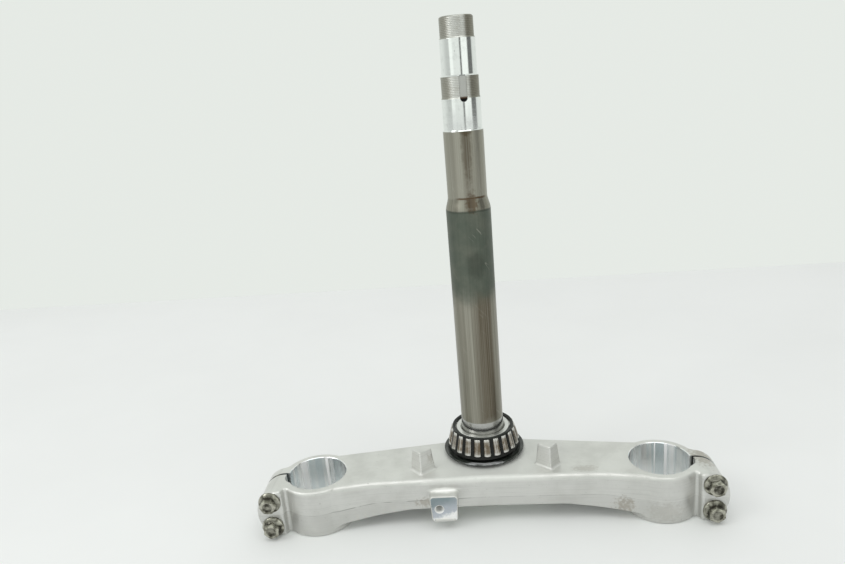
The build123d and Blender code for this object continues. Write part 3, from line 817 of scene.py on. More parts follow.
def cut_thread(look):
    """Matt thread with painted shade at its sides, rust-brown in its roots and painted shade at the keyway's round
    end.
    """
    material, tree, shader = new_material("Cut thread", Metallic=1.0)
    root = kept_value(tree, "root")
    slot = kept_value(tree, "slot")
    worn = clouded(tree, 190.0, 0.4, 0.68)
    # Painted shade: the thread's right and left sides are laid in the darker tube colour.
    right = side_of_stem(tree, 0.819, -0.574, 0.86, 0.955)
    left = side_of_stem(tree, -0.906, -0.423, 0.72, 0.93)
    side = calc(tree, "MULTIPLY_ADD", right, 0.95, times(tree, left, 0.7))
    tone = lay(tree, look.thread, look.pale, worn, 0.35)
    tone = lay(tree, tone, look.tube, side, calc(tree, "SUBTRACT", 1.0, slot))
    tone = lay(tree, tone, look.worn, slot, 0.65)
    # Rust-brown in the thread's roots, and painted shade at the keyway's round end.
    tone = lay(tree, tone, look.rust, root, between(tree, slot, 0.3, 0.97))
    feed(tree, shader["Base Color"], tone)
    rough = between(tree, worn, 0.36, 0.46)
    feed(tree, shader["Roughness"], calc(tree, "MULTIPLY_ADD", slot, 0.06, rough))
    raise_relief(tree, shader, noise(tree, place_on(tree), 2600.0, 2.0), 0.02 * MM)
    return material


def roller_steel(look):
    """Ground rollers, brown and streaked in the middle of their length and bright at the ends."""
    material, tree, shader = new_material("Roller steel", Metallic=1.0)
    middle = ramp(tree, calc(tree, "ABSOLUTE", kept_value(tree, "along")), 0.55, 0.92, 1.0, 0.0)
    film = clouded(tree, 260.0, 0.3, 0.6)
    lines = streaked(tree, 42.0, 22.0, 0.34, 0.56)
    brown = calc(tree, "MULTIPLY_ADD", film, 0.3, 0.12)
    brown = calc(tree, "MULTIPLY_ADD", lines, 0.6, brown)
    feed(tree, shader["Base Color"], lay(tree, look.roller, look.varnish, middle, brown))
    feed(tree, shader["Roughness"], between(tree, film, 0.16, 0.28))
    raise_relief(tree, shader, noise(tree, place_on(tree), 3000.0, 2.0), 0.006 * MM)
    return material


def black_cage(look):
    """Blackened sheet steel, wet with oil, worn grey in clouds and with a painted sheen along its upper rim."""
    material, tree, shader = new_material("Black cage", Coat_Roughness=0.2, Specular_IOR_Level=0.14)
    worn = clouded(tree, 330.0, 0.38, 0.66)
    # Painted sheen: the upper rim is laid grey where it catches the light.
    rubbed = times(tree, kept_value(tree, "edge"), calc(tree, "MULTIPLY_ADD", worn, 0.6, 0.4))
    tone = lay(tree, look.cage, look.cage_worn, worn, 0.25)
    feed(tree, shader["Base Color"], lay(tree, tone, look.cage_worn, rubbed))
    feed(tree, shader["Roughness"], between(tree, worn, 0.32, 0.5))
    feed(tree, shader["Coat Weight"], ramp(tree, worn, 0.2, 0.9, 0.16, 0.0))
    raise_relief(tree, shader, noise(tree, place_on(tree), 1500.0, 3.0), 0.02 * MM)
    return material


def oily_rubber(look):
    """Dark green-black rubber under a smear of old oil, with a painted highlight on the front of its lip."""
    material, tree, shader = new_material("Oily rubber", Coat_Roughness=0.12, Specular_IOR_Level=0.2)
    film = clouded(tree, 170.0, 0.35, 0.7)
    specks = clouded(tree, 1100.0, 0.64, 0.7)
    # Painted highlight: a bright streak along the front of the lip.
    glint = patch(tree, (-0.5, -26.6, 3.4), (20.0, 2.8, 1.3), 1.2)
    tone = lay(tree, look.seal, look.seal_film, film, 0.5)
    tone = lay(tree, tone, look.seal_film, specks, 0.5)
    feed(tree, shader["Base Color"], lay(tree, tone, look.seal_glint, glint, 0.75))
    feed(tree, shader["Roughness"], between(tree, film, 0.32, 0.5))
    feed(tree, shader["Coat Weight"], between(tree, film, 0.45, 0.9))
    raise_relief(tree, shader, noise(tree, place_on(tree), 900.0, 3.0), 0.02 * MM)
    return material


def dull_plating(look):
    """Yellowish plating, tarnished in clouds, with grime and painted shade in the dish and where the head meets
    its flange.
    """
    material, tree, shader = new_material("Dull plating", Metallic=1.0)
    tarnish = clouded(tree, 210.0, 0.42, 0.62)
    specks = clouded(tree, 900.0, 0.6, 0.7)
    dirt = times(tree, kept_value(tree, "dirt"), calc(tree, "MULTIPLY_ADD", tarnish, 0.5, 0.6))
    tone = lay(tree, look.plating, look.tarnish, tarnish, 0.85)
    tone = lay(tree, tone, look.dirt, specks, 0.4)
    feed(tree, shader["Base Color"], lay(tree, tone, look.dirt, dirt))
    rough = between(tree, tarnish, 0.14, 0.30)
    feed(tree, shader["Roughness"], calc(tree, "MULTIPLY_ADD", dirt, 0.15, rough))
    raise_relief(tree, shader, noise(tree, place_on(tree), 1300.0, 3.0), 0.02 * MM)
    return material


# Pieces


# Numbers of the casting's and the stem's finishes, in the order of their materials
CAST, BORED, MILLED, TAPPED = range(4)
TUBE, GROUND, THREAD, WORN = range(4)


def casting_mesh(sharp_angle):
    """The casting's CAD mesh with its loose triangles joined and its shading smooth round the fillets."""
    joined = bmesh.new()
    joined.from_mesh(frame["nodes"]["lower_clamp"].data)
    bmesh.ops.remove_doubles(joined, verts=joined.verts, dist=0.001 * MM)
    mesh = bpy.data.meshes.new("clamp_casting")
    joined.to_mesh(mesh)
    joined.free()
    mesh.shade_smooth()
    normals = corner_normals(mesh, sharp_angle)
    mesh.normals_split_custom_set(normals.tolist())
    keep_values(mesh, "wall", 1.0 - np.abs(normals[:, 2]), "CORNER")
    return mesh


def read_values(items, name, width, kind=float):
    """One property of all of a mesh's points, faces or corners, as an array."""
    values = np.empty(len(items) * width, kind)
    items.foreach_get(name, values)
    return values.reshape(-1, width) if width > 1 else values


def corner_normals(mesh, sharp_angle):
    """Normals for shading triangles, one for each corner.

    Faces that turn by less than an angle share a mean normal at their points. Each face counts in the mean by
    the area of all the faces in its plane, so flat faces stay flat to their borders.
    """
    normal = read_values(mesh.polygons, "normal", 3)
    centre = read_values(mesh.polygons, "center", 3)
    area = read_values(mesh.polygons, "area", 1)
    plane_step = 0.02 * MM
    offset = np.einsum("ij,ij->i", normal, centre) / plane_step
    plane = np.concatenate([np.round(normal, 3), np.round(offset)[:, None]], axis=1)
    group = np.unique(plane, axis=0, return_inverse=True)[1].ravel()
    weight = np.bincount(group, area)[group]
    point = read_values(mesh.loops, "vertex_index", 1, np.int32)
    edge = read_values(mesh.loops, "edge_index", 1, np.int32)
    corner = np.arange(len(point))
    after = corner - corner % 3 + (corner + 1) % 3
    order = np.argsort(edge, kind="stable")
    paired = edge[order[:-1]] == edge[order[1:]]
    one, other = order[:-1][paired], order[1:][paired]
    soft = np.einsum("ij,ij->i", normal[one // 3], normal[other // 3]) > cos(sharp_angle)
    one, other = one[soft], other[soft]
    same_way = point[one] == point[other]
    first = np.concatenate([one, after[one]])
    second = np.where(same_way, [other, after[other]], [after[other], other]).ravel()
    label = corner.copy()
    while True:
        lowest = label.copy()
        np.minimum.at(lowest, first, label[second])
        np.minimum.at(lowest, second, label[first])
        lowest = lowest[lowest]
        if np.array_equal(lowest, label):
            break
        label = lowest
    share_of = normal[corner // 3] * weight[corner // 3][:, None]
    sums = [np.bincount(label, share_of[:, axis], len(label)) for axis in range(3)]
    total = np.stack(sums, axis=1)[label]
    return total / np.linalg.norm(total, axis=1, keepdims=True)


def finish_numbers(mesh):
    """Finish of each casting face: bored in bores and slits, milled or tapped on the hose lug, or cast."""
    centre = read_values(mesh.polygons, "center", 3)
    normal = read_values(mesh.polygons, "normal", 3)
    chamfer = 0.9 * MM
    front_or_back = np.abs(normal[:, 1]) > 0.9
    fork = np.array(mounts["right_fork_clamp"]["pos_m"])
    bore = mounts["right_fork_clamp"]["dims"]["r_mm"] * MM
    aside = np.abs(centre[:, 0]) - fork[0]
    behind = centre[:, 1] - fork[1]
    out = aside * normal[:, 0] * np.sign(centre[:, 0]) + behind * normal[:, 1]
    bored = (np.hypot(aside, behind) < bore + chamfer) & (out < 0.0)
    slit = (aside > 0.5 * bore) & (np.abs(behind) < 1.0 * MM) & front_or_back
    lug = mounts["hose_lug_hole"]
    hole = np.array(lug["pos_m"])
    mouth = lug["dims"]["r_mm"] * MM
    half_lug = 16.0 * MM
    from_hole = np.hypot(centre[:, 0] - hole[0], centre[:, 2] - hole[2])
    from_front = centre[:, 1] - centre[from_hole < 2.0 * mouth, 1].min()
    tapped = (from_hole < mouth + chamfer) & (from_front > 0.01 * MM) & ~front_or_back
    milled = (np.abs(from_front) < 0.05 * MM) & (normal[:, 1] < -0.99)
    milled &= np.abs(centre[:, 0] - hole[0]) < half_lug
    return np.select([milled, tapped, bored | slit], [MILLED, TAPPED, BORED], CAST)


def pin_ends(name):
    """Heights of a pin mount's lower and upper ends."""
    middle = mounts[name]["pos_m"][2]
    half = mounts[name]["dims"]["length_mm"] * MM / 2
    return middle - half, middle + half


def pin_radius(name):
    """Radius of a pin mount."""
    return mounts[name]["dims"]["r_mm"] * MM


def stem_outline(size):
    """Heights and radii of the stem's outside from the bottom up, with the steps' chamfers."""
    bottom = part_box("steering_stem")[0].z
    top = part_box("steering_stem")[1].z
    chamfer = size.chamfer
    step = 0.1 * MM
    journal_bottom, journal_top = pin_ends("upper_bearing_journal")
    yoke_bottom, yoke_top = pin_ends("top_yoke_seat")
    journal = pin_radius("upper_bearing_journal")
    nut = pin_radius("bearing_nut_thread")
    yoke = pin_radius("top_yoke_seat")
    end = pin_radius("top_nut_thread")
    points = [
        (bottom, size.seat_radius - chamfer),
        (bottom + chamfer, size.seat_radius),
        (-step, size.seat_radius),
        (0.0, size.journal_radius),
        (size.journal_top - step, size.journal_radius),
        (size.journal_top, size.tube_radius),
        (size.taper_bottom, size.tube_radius),
        (size.taper_top, size.neck_radius),
        (journal_bottom - chamfer, size.neck_radius),
        (journal_bottom, journal),
        (journal_top, journal),
        (journal_top + chamfer, nut),
        (yoke_bottom - chamfer, nut),
        (yoke_bottom, yoke),
        (yoke_top, yoke),
        (yoke_top + chamfer, end),
        (top - chamfer, end),
        (top, end - chamfer),
    ]
    levels = {
        "bottom": bottom,
        "journal_bottom": journal_bottom,
        "journal_top": journal_top,
        "yoke_bottom": yoke_bottom,
        "yoke_top": yoke_top,
        "top": top,
    }
    return np.array(points), levels


def stem_columns(size):
    """Angles of the stem's columns: even all round, and closer together across the keyway."""
    coarse = even_angles(size.columns)[0]
    near = radians(15)
    away = np.abs((coarse - size.keyway_facing + pi) % (2 * pi) - pi) > near
    fine = size.keyway_facing + np.linspace(-near, near, 61)
    return np.sort(np.concatenate([coarse[away], fine % (2 * pi)]))[None, :]


def stem_mesh(size):
    """Outside and bore of the stem as one closed grid.

    The radius follows the outline, eased by a smooth step at the taper. A screw thread is taken off over the
    two threaded lengths. The keyway takes the radius down to a flat where a point lies inside a slot with a
    round end.
    """
    outline, level = stem_outline(size)
    beside_corner = 0.15 * MM
    beyond_taper = 1.0 * MM
    thread_step = 0.1 * MM
    below_keyway = 0.4 * MM
    height = np.concatenate([
        outline[:, 0],
        outline[1:, 0] - beside_corner,
        outline[:-1, 0] + beside_corner,
        np.linspace(size.taper_bottom - beyond_taper, size.taper_top + beyond_taper, 12),
        np.linspace(size.journal_top, level["journal_bottom"], 40),
        np.arange(size.keyway_bottom - below_keyway, level["yoke_bottom"], thread_step),
        np.arange(level["yoke_top"], level["top"], thread_step),
    ])
    height = np.unique(np.round(np.clip(height, level["bottom"], level["top"]), 6))[:, None]
    angle = stem_columns(size)
    radius = np.interp(height, outline[:, 0], outline[:, 1])
    narrowing = smooth(size.taper_bottom, size.taper_top, height)
    eased = size.tube_radius + (size.neck_radius - size.tube_radius) * narrowing
    at_taper = (height > size.taper_bottom) & (height < size.taper_top)
    radius = np.where(at_taper, eased, radius)
    pitch = size.thread_pitch
    above_journal = height - level["journal_top"]
    below_yoke = level["yoke_bottom"] - height
    above_yoke = height - level["yoke_top"]
    nut_length = smooth(0.2 * pitch, 1.6 * pitch, above_journal)
    nut_length = nut_length * smooth(0.2 * pitch, 1.4 * pitch, below_yoke)
    end_length = smooth(0.4 * pitch, 1.8 * pitch, above_yoke)
    cut = np.maximum(nut_length, end_length) * thread_wave(height, angle, pitch)
    radius = radius - size.thread_depth * cut
    turn = angle - size.keyway_facing
    floor = pin_radius("top_yoke_seat")
    round_end = size.keyway_bottom + size.keyway_width / 2
    aside = np.where(np.cos(turn) > 0, radius * np.sin(turn), 1.0)
    into = size.keyway_width / 2 - np.hypot(aside, np.maximum(round_end - height, 0.0))
    soft_edge = 0.12 * MM
    slot = smooth(-soft_edge, soft_edge, into) * (height < level["yoke_bottom"])
    flat = np.minimum(radius, floor / np.maximum(np.cos(turn), 0.5))
    radius = radius + slot * (flat - radius)
    # Painted shade: the keyway's round end is darkened over this reach, in the same values as the thread's roots.
    keyway_shade_reach = 1.2 * MM
    root = cut * (1.0 - slot) + slot * smooth(-keyway_shade_reach, 0.0, round_end - height)
    outside = turned_grid(radius, height, angle)
    mouth = 0.4 * MM
    bore = np.array([
        (level["top"], size.upper_bore + mouth),
        (level["top"] - mouth, size.upper_bore),
        (size.bore_top + size.bore_step, size.upper_bore),
        (size.bore_top, size.lower_bore),
        (level["bottom"], size.lower_bore),
    ])
    inside = turned_grid(bore[:, 1:], bore[:, :1], angle)
    points = np.concatenate([outside, inside])
    rows, columns = points.shape[:2]
    mesh = fill_mesh("steering_stem_turned", points, grid_quads(rows, columns, True))
    for name, values in (("root", root), ("slot", slot)):
        shown = np.broadcast_to(values, outside.shape[:2])
        keep_values(mesh, name, np.concatenate([shown, np.zeros(inside.shape[:2])]))
    in_bore = np.full(len(bore), -1.0)
    middle = np.concatenate([height[:, 0], in_bore])
    middle = (middle + np.roll(middle, -1)) / 2
    chamfer = size.chamfer
    zone = np.full(rows, TUBE, np.int32)
    zone[(middle > level["bottom"]) & (middle < size.journal_top)] = WORN
    zone[(middle > level["journal_bottom"] - chamfer) & (middle < level["yoke_top"] + chamfer)] = GROUND
    zone[(middle > level["journal_top"]) & (middle < level["yoke_bottom"] - chamfer)] = THREAD
    zone[middle > level["yoke_top"]] = THREAD
    mesh.polygons.foreach_set("material_index", np.repeat(zone, columns))
    shade(mesh, radians(38))
    return mesh


def roller_facts():
    """Sizes that the rollers share, from the first roller's joint and its CAD mesh."""
    joint = joints[roller_names[0] + "_spin"]
    axis = np.array(joint["axis"])
    place = np.array(joint["pos_m"])
    offset = read_values(frame["nodes"][roller_names[0]].data.vertices, "co", 3) - place
    along = offset @ axis
    away = np.linalg.norm(offset - along[:, None] * axis, axis=1)
    half = along.max()
    return {
        "circle": hypot(place[0], place[1]),
        "level": place[2],
        "tilt": np.arccos(axis[2]),
        "half": half,
        "low": away[along < 0].max(),
        "high": away[along > 0.9 * half].max(),
        "start": np.arctan2(place[0], -place[1]),
    }


def cone_radius(facts, along):
    """Radius of a roller at a distance up its axis from its middle, by a straight line between its ends."""
    return facts["low"] + (facts["high"] - facts["low"]) * (along + facts["half"]) / (2 * facts["half"])


def on_roller_axis(facts, along, out):
    """Radius and height of a point along a roller's axis, up from its middle, and out from it."""
    tilt = facts["tilt"]
    radius = facts["circle"] - along * np.sin(tilt) + out * np.cos(tilt)
    return radius, facts["level"] + along * np.cos(tilt) + out * np.sin(tilt)


def roller_mesh(name, facts):
    """One roller: a cone with rounded edges and a shallow dimple in each end, about its joint's axis."""
    half = facts["half"]
    low = facts["low"]
    high = facts["high"]
    edge = np.linspace(0.0, pi / 2, 5)
    bend = 0.4 * MM
    dimple = 0.25 * MM
    radius = np.concatenate([
        [0.28 * low, 0.55 * low],
        low - bend + bend * np.sin(edge),
        np.linspace(low, high, 9)[1:-1],
        high - bend + bend * np.cos(edge),
        [0.55 * high, 0.28 * high],
    ])
    along = np.concatenate([
        [-half + dimple, -half],
        -half + bend - bend * np.cos(edge),
        np.linspace(-half + bend, half - bend, 9)[1:-1],
        half - bend + bend * np.sin(edge),
        [half, half - dimple],
    ])
    points = turned_grid(radius[:, None], along[:, None], even_angles(32))
    rows, columns = points.shape[:2]
    joint = joints[name + "_spin"]
    turn = Vector((0.0, 0.0, 1.0)).rotation_difference(Vector(joint["axis"])).to_matrix()
    points = points @ np.array(turn).T + np.array(joint["pos_m"])
    mesh = fill_mesh(name + "_turned", points, grid_quads(rows, columns, False), end_caps(rows, columns))
    keep_values(mesh, "along", np.repeat(along / half, columns))
    shade(mesh, radians(40))
    return mesh


def turned_mesh(name, outline, columns, sharp_angle):
    """A closed outline of radii and heights, turned about the stem's axis."""
    points = turned_grid(outline[:, :1], outline[:, 1:], even_angles(columns))
    mesh = fill_mesh(name, points, grid_quads(len(outline), columns, True))
    shade(mesh, sharp_angle)
    return mesh


def ring_mesh(facts, size):
    """The bearing's inner ring: an outline with its cone-shaped track between two ribs, turned."""
    low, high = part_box("bearing_inner_ring")
    back, top = low.z, high.z
    rib = facts["half"] + size.end_gap
    gap = size.running_gap
    start = on_roller_axis(facts, -rib, -cone_radius(facts, -rib) - gap)
    end = on_roller_axis(facts, rib, -cone_radius(facts, rib) - gap)
    lean = np.tan(facts["tilt"])
    edge = 0.35 * MM
    back_edge = 0.9 * MM
    outline = np.array([
        (size.bore_radius + size.bore_round, back),
        (size.big_rib_radius - back_edge, back),
        (size.big_rib_radius, back + back_edge),
        (size.big_rib_radius, start[1] + (size.big_rib_radius - start[0]) * lean - edge),
        (size.big_rib_radius - edge, start[1] + (size.big_rib_radius - edge - start[0]) * lean),
        start,
        end,
        (size.small_rib_radius, end[1] + (size.small_rib_radius - end[0]) * lean),
        (size.small_rib_radius, top - edge),
        (size.small_rib_radius - edge, top),
        (size.bore_radius + size.bore_round, top),
        (size.bore_radius + 0.35 * size.bore_round, top - 0.4 * size.bore_round),
        (size.bore_radius, top - size.bore_round),
        (size.bore_radius, back + size.bore_round),
    ])
    return turned_mesh("inner_ring_ground", outline, 120, radians(30))


def cage_mesh(facts, size):
    """The cage: a closed section carried round the stem's axis, with a window cut for each roller.

    In a section, a point lies along and out from the rollers' axes. Columns follow the windows' edges: half a
    window is the arc whose sine is sqrt(R^2 - out^2) over the distance from the stem's axis, R being the
    roller's radius and its play.
    """
    rib = facts["half"] + size.end_gap
    end = rib + size.end_gap
    window = np.linspace(-rib, rib, 9)
    foot = -end - size.lower_rim
    below_window = -rib - 0.6 * size.lower_rim
    head = end + size.upper_rim
    outer = np.concatenate([[foot, below_window], window, [head]])
    inner = np.concatenate([[end], window[::-1], [below_window, foot]])
    along = np.concatenate([outer, [head, end], inner])
    out = np.repeat([size.cage_outer, size.cage_flange, size.cage_inner], [len(outer), 2, len(inner)])
    radius, height = on_roller_axis(facts, along, out)
    hold = cone_radius(facts, np.clip(along, -rib, rib)) + size.running_gap + size.pocket_gap
    half = np.arcsin(np.sqrt(hold**2 - out**2) / radius)[:, None]
    count = len(roller_names)
    step = 2 * pi / count
    across = np.array([-1.0, -0.5, 0.0, 0.5, 1.0])
    bar = np.array([0.25, 0.5, 0.75])
    one = np.concatenate([half * across, half + (step - 2 * half) * bar], axis=1)
    turned = np.arange(count)[None, :, None] * step + one[:, None, :]
    angle = facts["start"] + turned.reshape(len(along), -1)
    points = turned_grid(radius[:, None], height[:, None], angle)
    rows, columns = angle.shape
    each = one.shape[1]
    cells = len(across) - 1
    spans = np.arange(len(window) - 1)
    first_out = 2
    first_in = len(outer) + 3
    row = np.repeat(np.arange(rows), columns)
    column = np.tile(np.arange(columns), rows) % each
    open_row = np.isin(row, np.concatenate([first_out + spans, first_in + spans]))
    kept = grid_quads(rows, columns, True)[~(open_row & (column < cells))]
    start = np.arange(count)[None, :] * each
    out_row = first_out + spans[:, None]
    in_row = first_in + len(spans) - spans[:, None]
    left = [(line * columns + start).ravel() for line in (out_row, out_row + 1, in_row - 1, in_row)]
    right = [line + cells for line in left[::-1]]
    cell = (start.T + np.arange(cells)[None, :]).ravel()
    low_out, high_out = first_out * columns + cell, (first_out + len(spans)) * columns + cell
    low_in, high_in = (first_in + len(spans)) * columns + cell, first_in * columns + cell
    lower = [low_out + 1, low_out, low_in, low_in + 1]
    upper = [high_out, high_out + 1, high_in + 1, high_in]
    walls = [np.stack(wall, axis=-1) for wall in (left, right, lower, upper)]
    mesh = fill_mesh("bearing_cage_pressed", points, np.concatenate([kept, *walls]))
    top_edge = smooth(rib, head, along) * (out > 0)
    keep_values(mesh, "edge", np.repeat(top_edge, columns))
    shade(mesh, radians(35))
    return mesh


def seal_mesh(size):
    """The dust seal: an outline, undercut below a round-edged lip and with a thin web inside it, turned."""
    low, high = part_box("dust_seal")
    outer = high.x
    top = high.z
    web = size.seal_web
    arc = np.linspace(-pi / 2, pi / 2, 13)
    bulge = 0.5 * (top - size.seal_rim)
    crown_radius = outer - bulge + bulge * np.cos(arc)
    crown_height = size.seal_rim + bulge + bulge * np.sin(arc)
    dip = np.linspace(0.0, 1.0, 6)
    dip_width = 1.2 * MM
    dip_radius = outer - size.seal_lip - dip * dip_width
    dip_height = top - (top - web) * smooth(0.0, 1.0, dip)
    radius = np.concatenate([[size.seal_foot], crown_radius, dip_radius, [size.seal_bore, size.seal_bore]])
    height = np.concatenate([[low.z], crown_height, dip_height, [web, low.z]])
    return turned_mesh("dust_seal_moulded", np.stack([radius, height], axis=-1), 128, radians(40))


def bolt_grid(size):
    """One flange bolt about its own axis, seat at height 0 and head up, and its share of grime and painted shade.

    The hexagon's radius is its flat's distance over the cosine of the angle from the flat, cut by a cone at
    its crown. The dish rises with the square of the distance from its middle. Each row has its radius, its
    height and its share of grime and painted shade.
    """
    angle = even_angles(60)
    flat = size.across_flats / 2
    turn = (angle + pi / 6) % (pi / 3) - pi / 6
    hexagon = flat / np.cos(turn)
    corner = flat / cos(pi / 6)
    crown_edge = flat - size.dish_depth
    slope = (corner - flat) / (corner - crown_edge)
    ledge = (size.flange_height - size.flange_rim) / (size.flange_radius - flat)
    dish = size.dish_radius
    deep = size.dish_depth
    head = size.head_height
    # Grime and painted shade: darkest in the dish and at the hexagon's foot where it meets the flange.
    rows = [
        (0.12 * dish, head - 0.99 * deep, 0.55),
        (0.35 * dish, head - 0.88 * deep, 0.70),
        (0.60 * dish, head - 0.64 * deep, 0.85),
        (0.80 * dish, head - 0.36 * deep, 0.95),
        (0.93 * dish, head - 0.14 * deep, 0.80),
        (dish, head, 0.10),
        (crown_edge, head, 0.15),
    ]
    for radius in np.linspace(crown_edge, corner, 7)[1:]:
        rim = np.minimum(radius, hexagon)
        rows.append((rim, head - slope * (rim - crown_edge), 0.0))
    top = head - slope * (hexagon - crown_edge)
    foot = size.flange_height - ledge * (hexagon - flat)
    for t, dirt in ((0.1, 0.1), (0.5, 0.35), (0.8, 0.7), (0.95, 0.95)):
        rows.append((hexagon, top + (foot - top) * t, dirt))
    for t, dirt in ((0.06, 1.0), (0.3, 0.8), (0.6, 0.45), (0.9, 0.1)):
        radius = hexagon + (size.flange_radius - hexagon) * t
        rows.append((radius, size.flange_height - ledge * (radius - flat), dirt))
    rim = size.flange_radius
    rows += [
        (rim - 0.08 * MM, size.flange_rim - 0.02 * MM, 0.1),
        (rim, size.flange_rim - 0.2 * MM, 0.1),
        (rim, 0.2 * MM, 0.5),
        (rim - 0.15 * MM, 0.0, 1.0),
        (size.shank_radius, 0.0, 1.0),
    ]
    down = -np.arange(0.3 * MM, size.shank_length - 1.0 * MM, size.thread_pitch / 6)[:, None]
    cut = smooth(0.4 * MM, 3.0 * MM, -down) * thread_wave(down, angle, size.thread_pitch)
    tip = size.shank_radius - size.thread_depth - 0.4 * MM
    rows.append((size.shank_radius - size.thread_depth * cut, down, 0.6 * cut))
    rows.append((tip, -size.shank_length, 0.0))
    filled = [np.broadcast_arrays(*row, angle)[:3] for row in rows]
    radius, height, dirt = (np.concatenate(values) for values in zip(*filled))
    return turned_grid(radius, height, angle), dirt


def bolts_mesh(size):
    """The four pinch bolts: one bolt's grid on each seat, its head forward, and turned by its own amount."""
    low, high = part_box("pinch_bolts")
    points, dirt = bolt_grid(size)
    rows, columns = points.shape[:2]
    seat_y = low.y + size.head_height
    levels = (high.z - size.flange_radius, low.z + size.flange_radius)
    seats = [(side * (high.x - size.flange_radius), level) for side in (1, -1) for level in levels]
    tip = np.array(Matrix.Rotation(pi / 2, 3, "X"))
    all_points, all_quads, all_caps = [], [], []
    for number, (x, z) in enumerate(seats):
        turn = np.array(Matrix.Rotation(radians(12 + 23 * number), 3, "Z"))
        all_points.append(points.reshape(-1, 3) @ turn.T @ tip.T + np.array((x, seat_y, z)))
        all_quads.append(grid_quads(rows, columns, False) + number * rows * columns)
        all_caps.extend(cap + number * rows * columns for cap in end_caps(rows, columns))
    mesh = fill_mesh("pinch_bolts_plated", np.concatenate(all_points), np.concatenate(all_quads), all_caps)
    keep_values(mesh, "dirt", np.tile(dirt.ravel(), len(seats)))
    shade(mesh, radians(30))
    return mesh


# Operators


class CLAMP_OT_casting(bpy.types.Operator):
    """Shows the casting in its cast and machined finishes"""

    bl_idname = "clamp.casting"
    bl_label = "Clamp casting"

    def execute(self, context):
        look = context.scene.clamp_casting
        mesh = casting_mesh(look.sharp_angle)
        builders = (cast_aluminium, bored_aluminium, milled_aluminium, tapped_aluminium)
        finishes = [build(look) for build in builders]
        add_piece(mesh, "steering", ["lower_clamp"], finishes)
        mesh.polygons.foreach_set("material_index", finish_numbers(mesh).astype(np.int32))
        return {"FINISHED"}


class CLAMP_OT_stem(bpy.types.Operator):
    """Makes the steering stem with its threads and keyway"""

    bl_idname = "clamp.stem"
    bl_label = "Steering stem"

    def execute(self, context):
        look = context.scene.clamp_stem
        ground = ground_steel("Ground journal", look.ground, 0.08, 0.16)
        worn = ground_steel("Worn journal", look.worn, 0.16, 0.28)
        finishes = [drawn_tube(look), ground, cut_thread(look), worn]
        add_piece(stem_mesh(look), "steering", ["steering_stem"], finishes)
        return {"FINISHED"}


class CLAMP_OT_seal(bpy.types.Operator):
    """Makes the dust seal under the bearing"""

    bl_idname = "clamp.seal"
    bl_label = "Dust seal"

    def execute(self, context):
        look = context.scene.clamp_bearing
        add_piece(seal_mesh(look), "steering", ["dust_seal"], [oily_rubber(look)])
        return {"FINISHED"}


class CLAMP_OT_bearing(bpy.types.Operator):
    """Makes the bearing's inner ring, its cage and its rollers"""

    bl_idname = "clamp.bearing"
    bl_label = "Lower bearing"

    def execute(self, context):
        look = context.scene.clamp_bearing
        facts = roller_facts()
        broken = 0.12 * MM
        ground = ground_steel("Ground ring", look.ring, 0.18, 0.30)
        mesh = ring_mesh(facts, look)
        ring = add_piece(mesh, "steering", ["bearing_inner_ring"], [ground])
        break_edges(ring, broken)
        cage = add_piece(cage_mesh(facts, look), "cage", ["bearing_cage"], [black_cage(look)])
        break_edges(cage, broken)
        steel = roller_steel(look)
        for name in roller_names:
            add_piece(roller_mesh(name, facts), name, [name], [steel])
        return {"FINISHED"}


class CLAMP_OT_bolts(bpy.types.Operator):
    """Makes the four pinch bolts"""

    bl_idname = "clamp.bolts"
    bl_label = "Pinch bolts"

    def execute(self, context):
        look = context.scene.clamp_bolts
        add_piece(bolts_mesh(look), "steering", ["pinch_bolts"], [dull_plating(look)])
        return {"FINISHED"}


def lay_floor(look):
    """A pale floor under the clamp, ending in a straight edge behind it."""
    level = cad_box[0].z
    reach = 4.0
    left_edge, right_edge = 0.645, 0.43
    corners = [
        (-reach, -reach, level),
        (reach, -reach, level),
        (reach, right_edge, level),
        (-reach, left_edge, level),
    ]
    mesh = bpy.data.meshes.new("floor")
    mesh.from_pydata(corners, [], [(0, 1, 2, 3)])
    floor = bpy.data.objects.new("floor", mesh)
    bpy.context.scene.collection.objects.link(floor)
    material, tree, shader = new_material("Floor", Roughness=0.6, Specular_IOR_Level=0.2)
    clouds = clouded(tree, 3.0, 0.3, 0.7)
    feed(tree, shader["Base Color"], mix(tree, clouds, look.floor, darker(look.floor, 0.97)))
    mesh.materials.append(material)


def hang_lamp(name, place, size, power):
    """A soft rectangular lamp that points at the middle of the part."""
    lamp = bpy.data.lights.new(name, "AREA")
    lamp.shape = "RECTANGLE"
    lamp.size, lamp.size_y = size
    lamp.energy = power
    holder = bpy.data.objects.new(name, lamp)
    holder.location = place
    middle = Vector((0.0, 0.0, 0.05))
    holder.rotation_euler = (middle - Vector(place)).to_track_quat("-Z", "Y").to_euler()
    bpy.context.scene.collection.objects.link(holder)


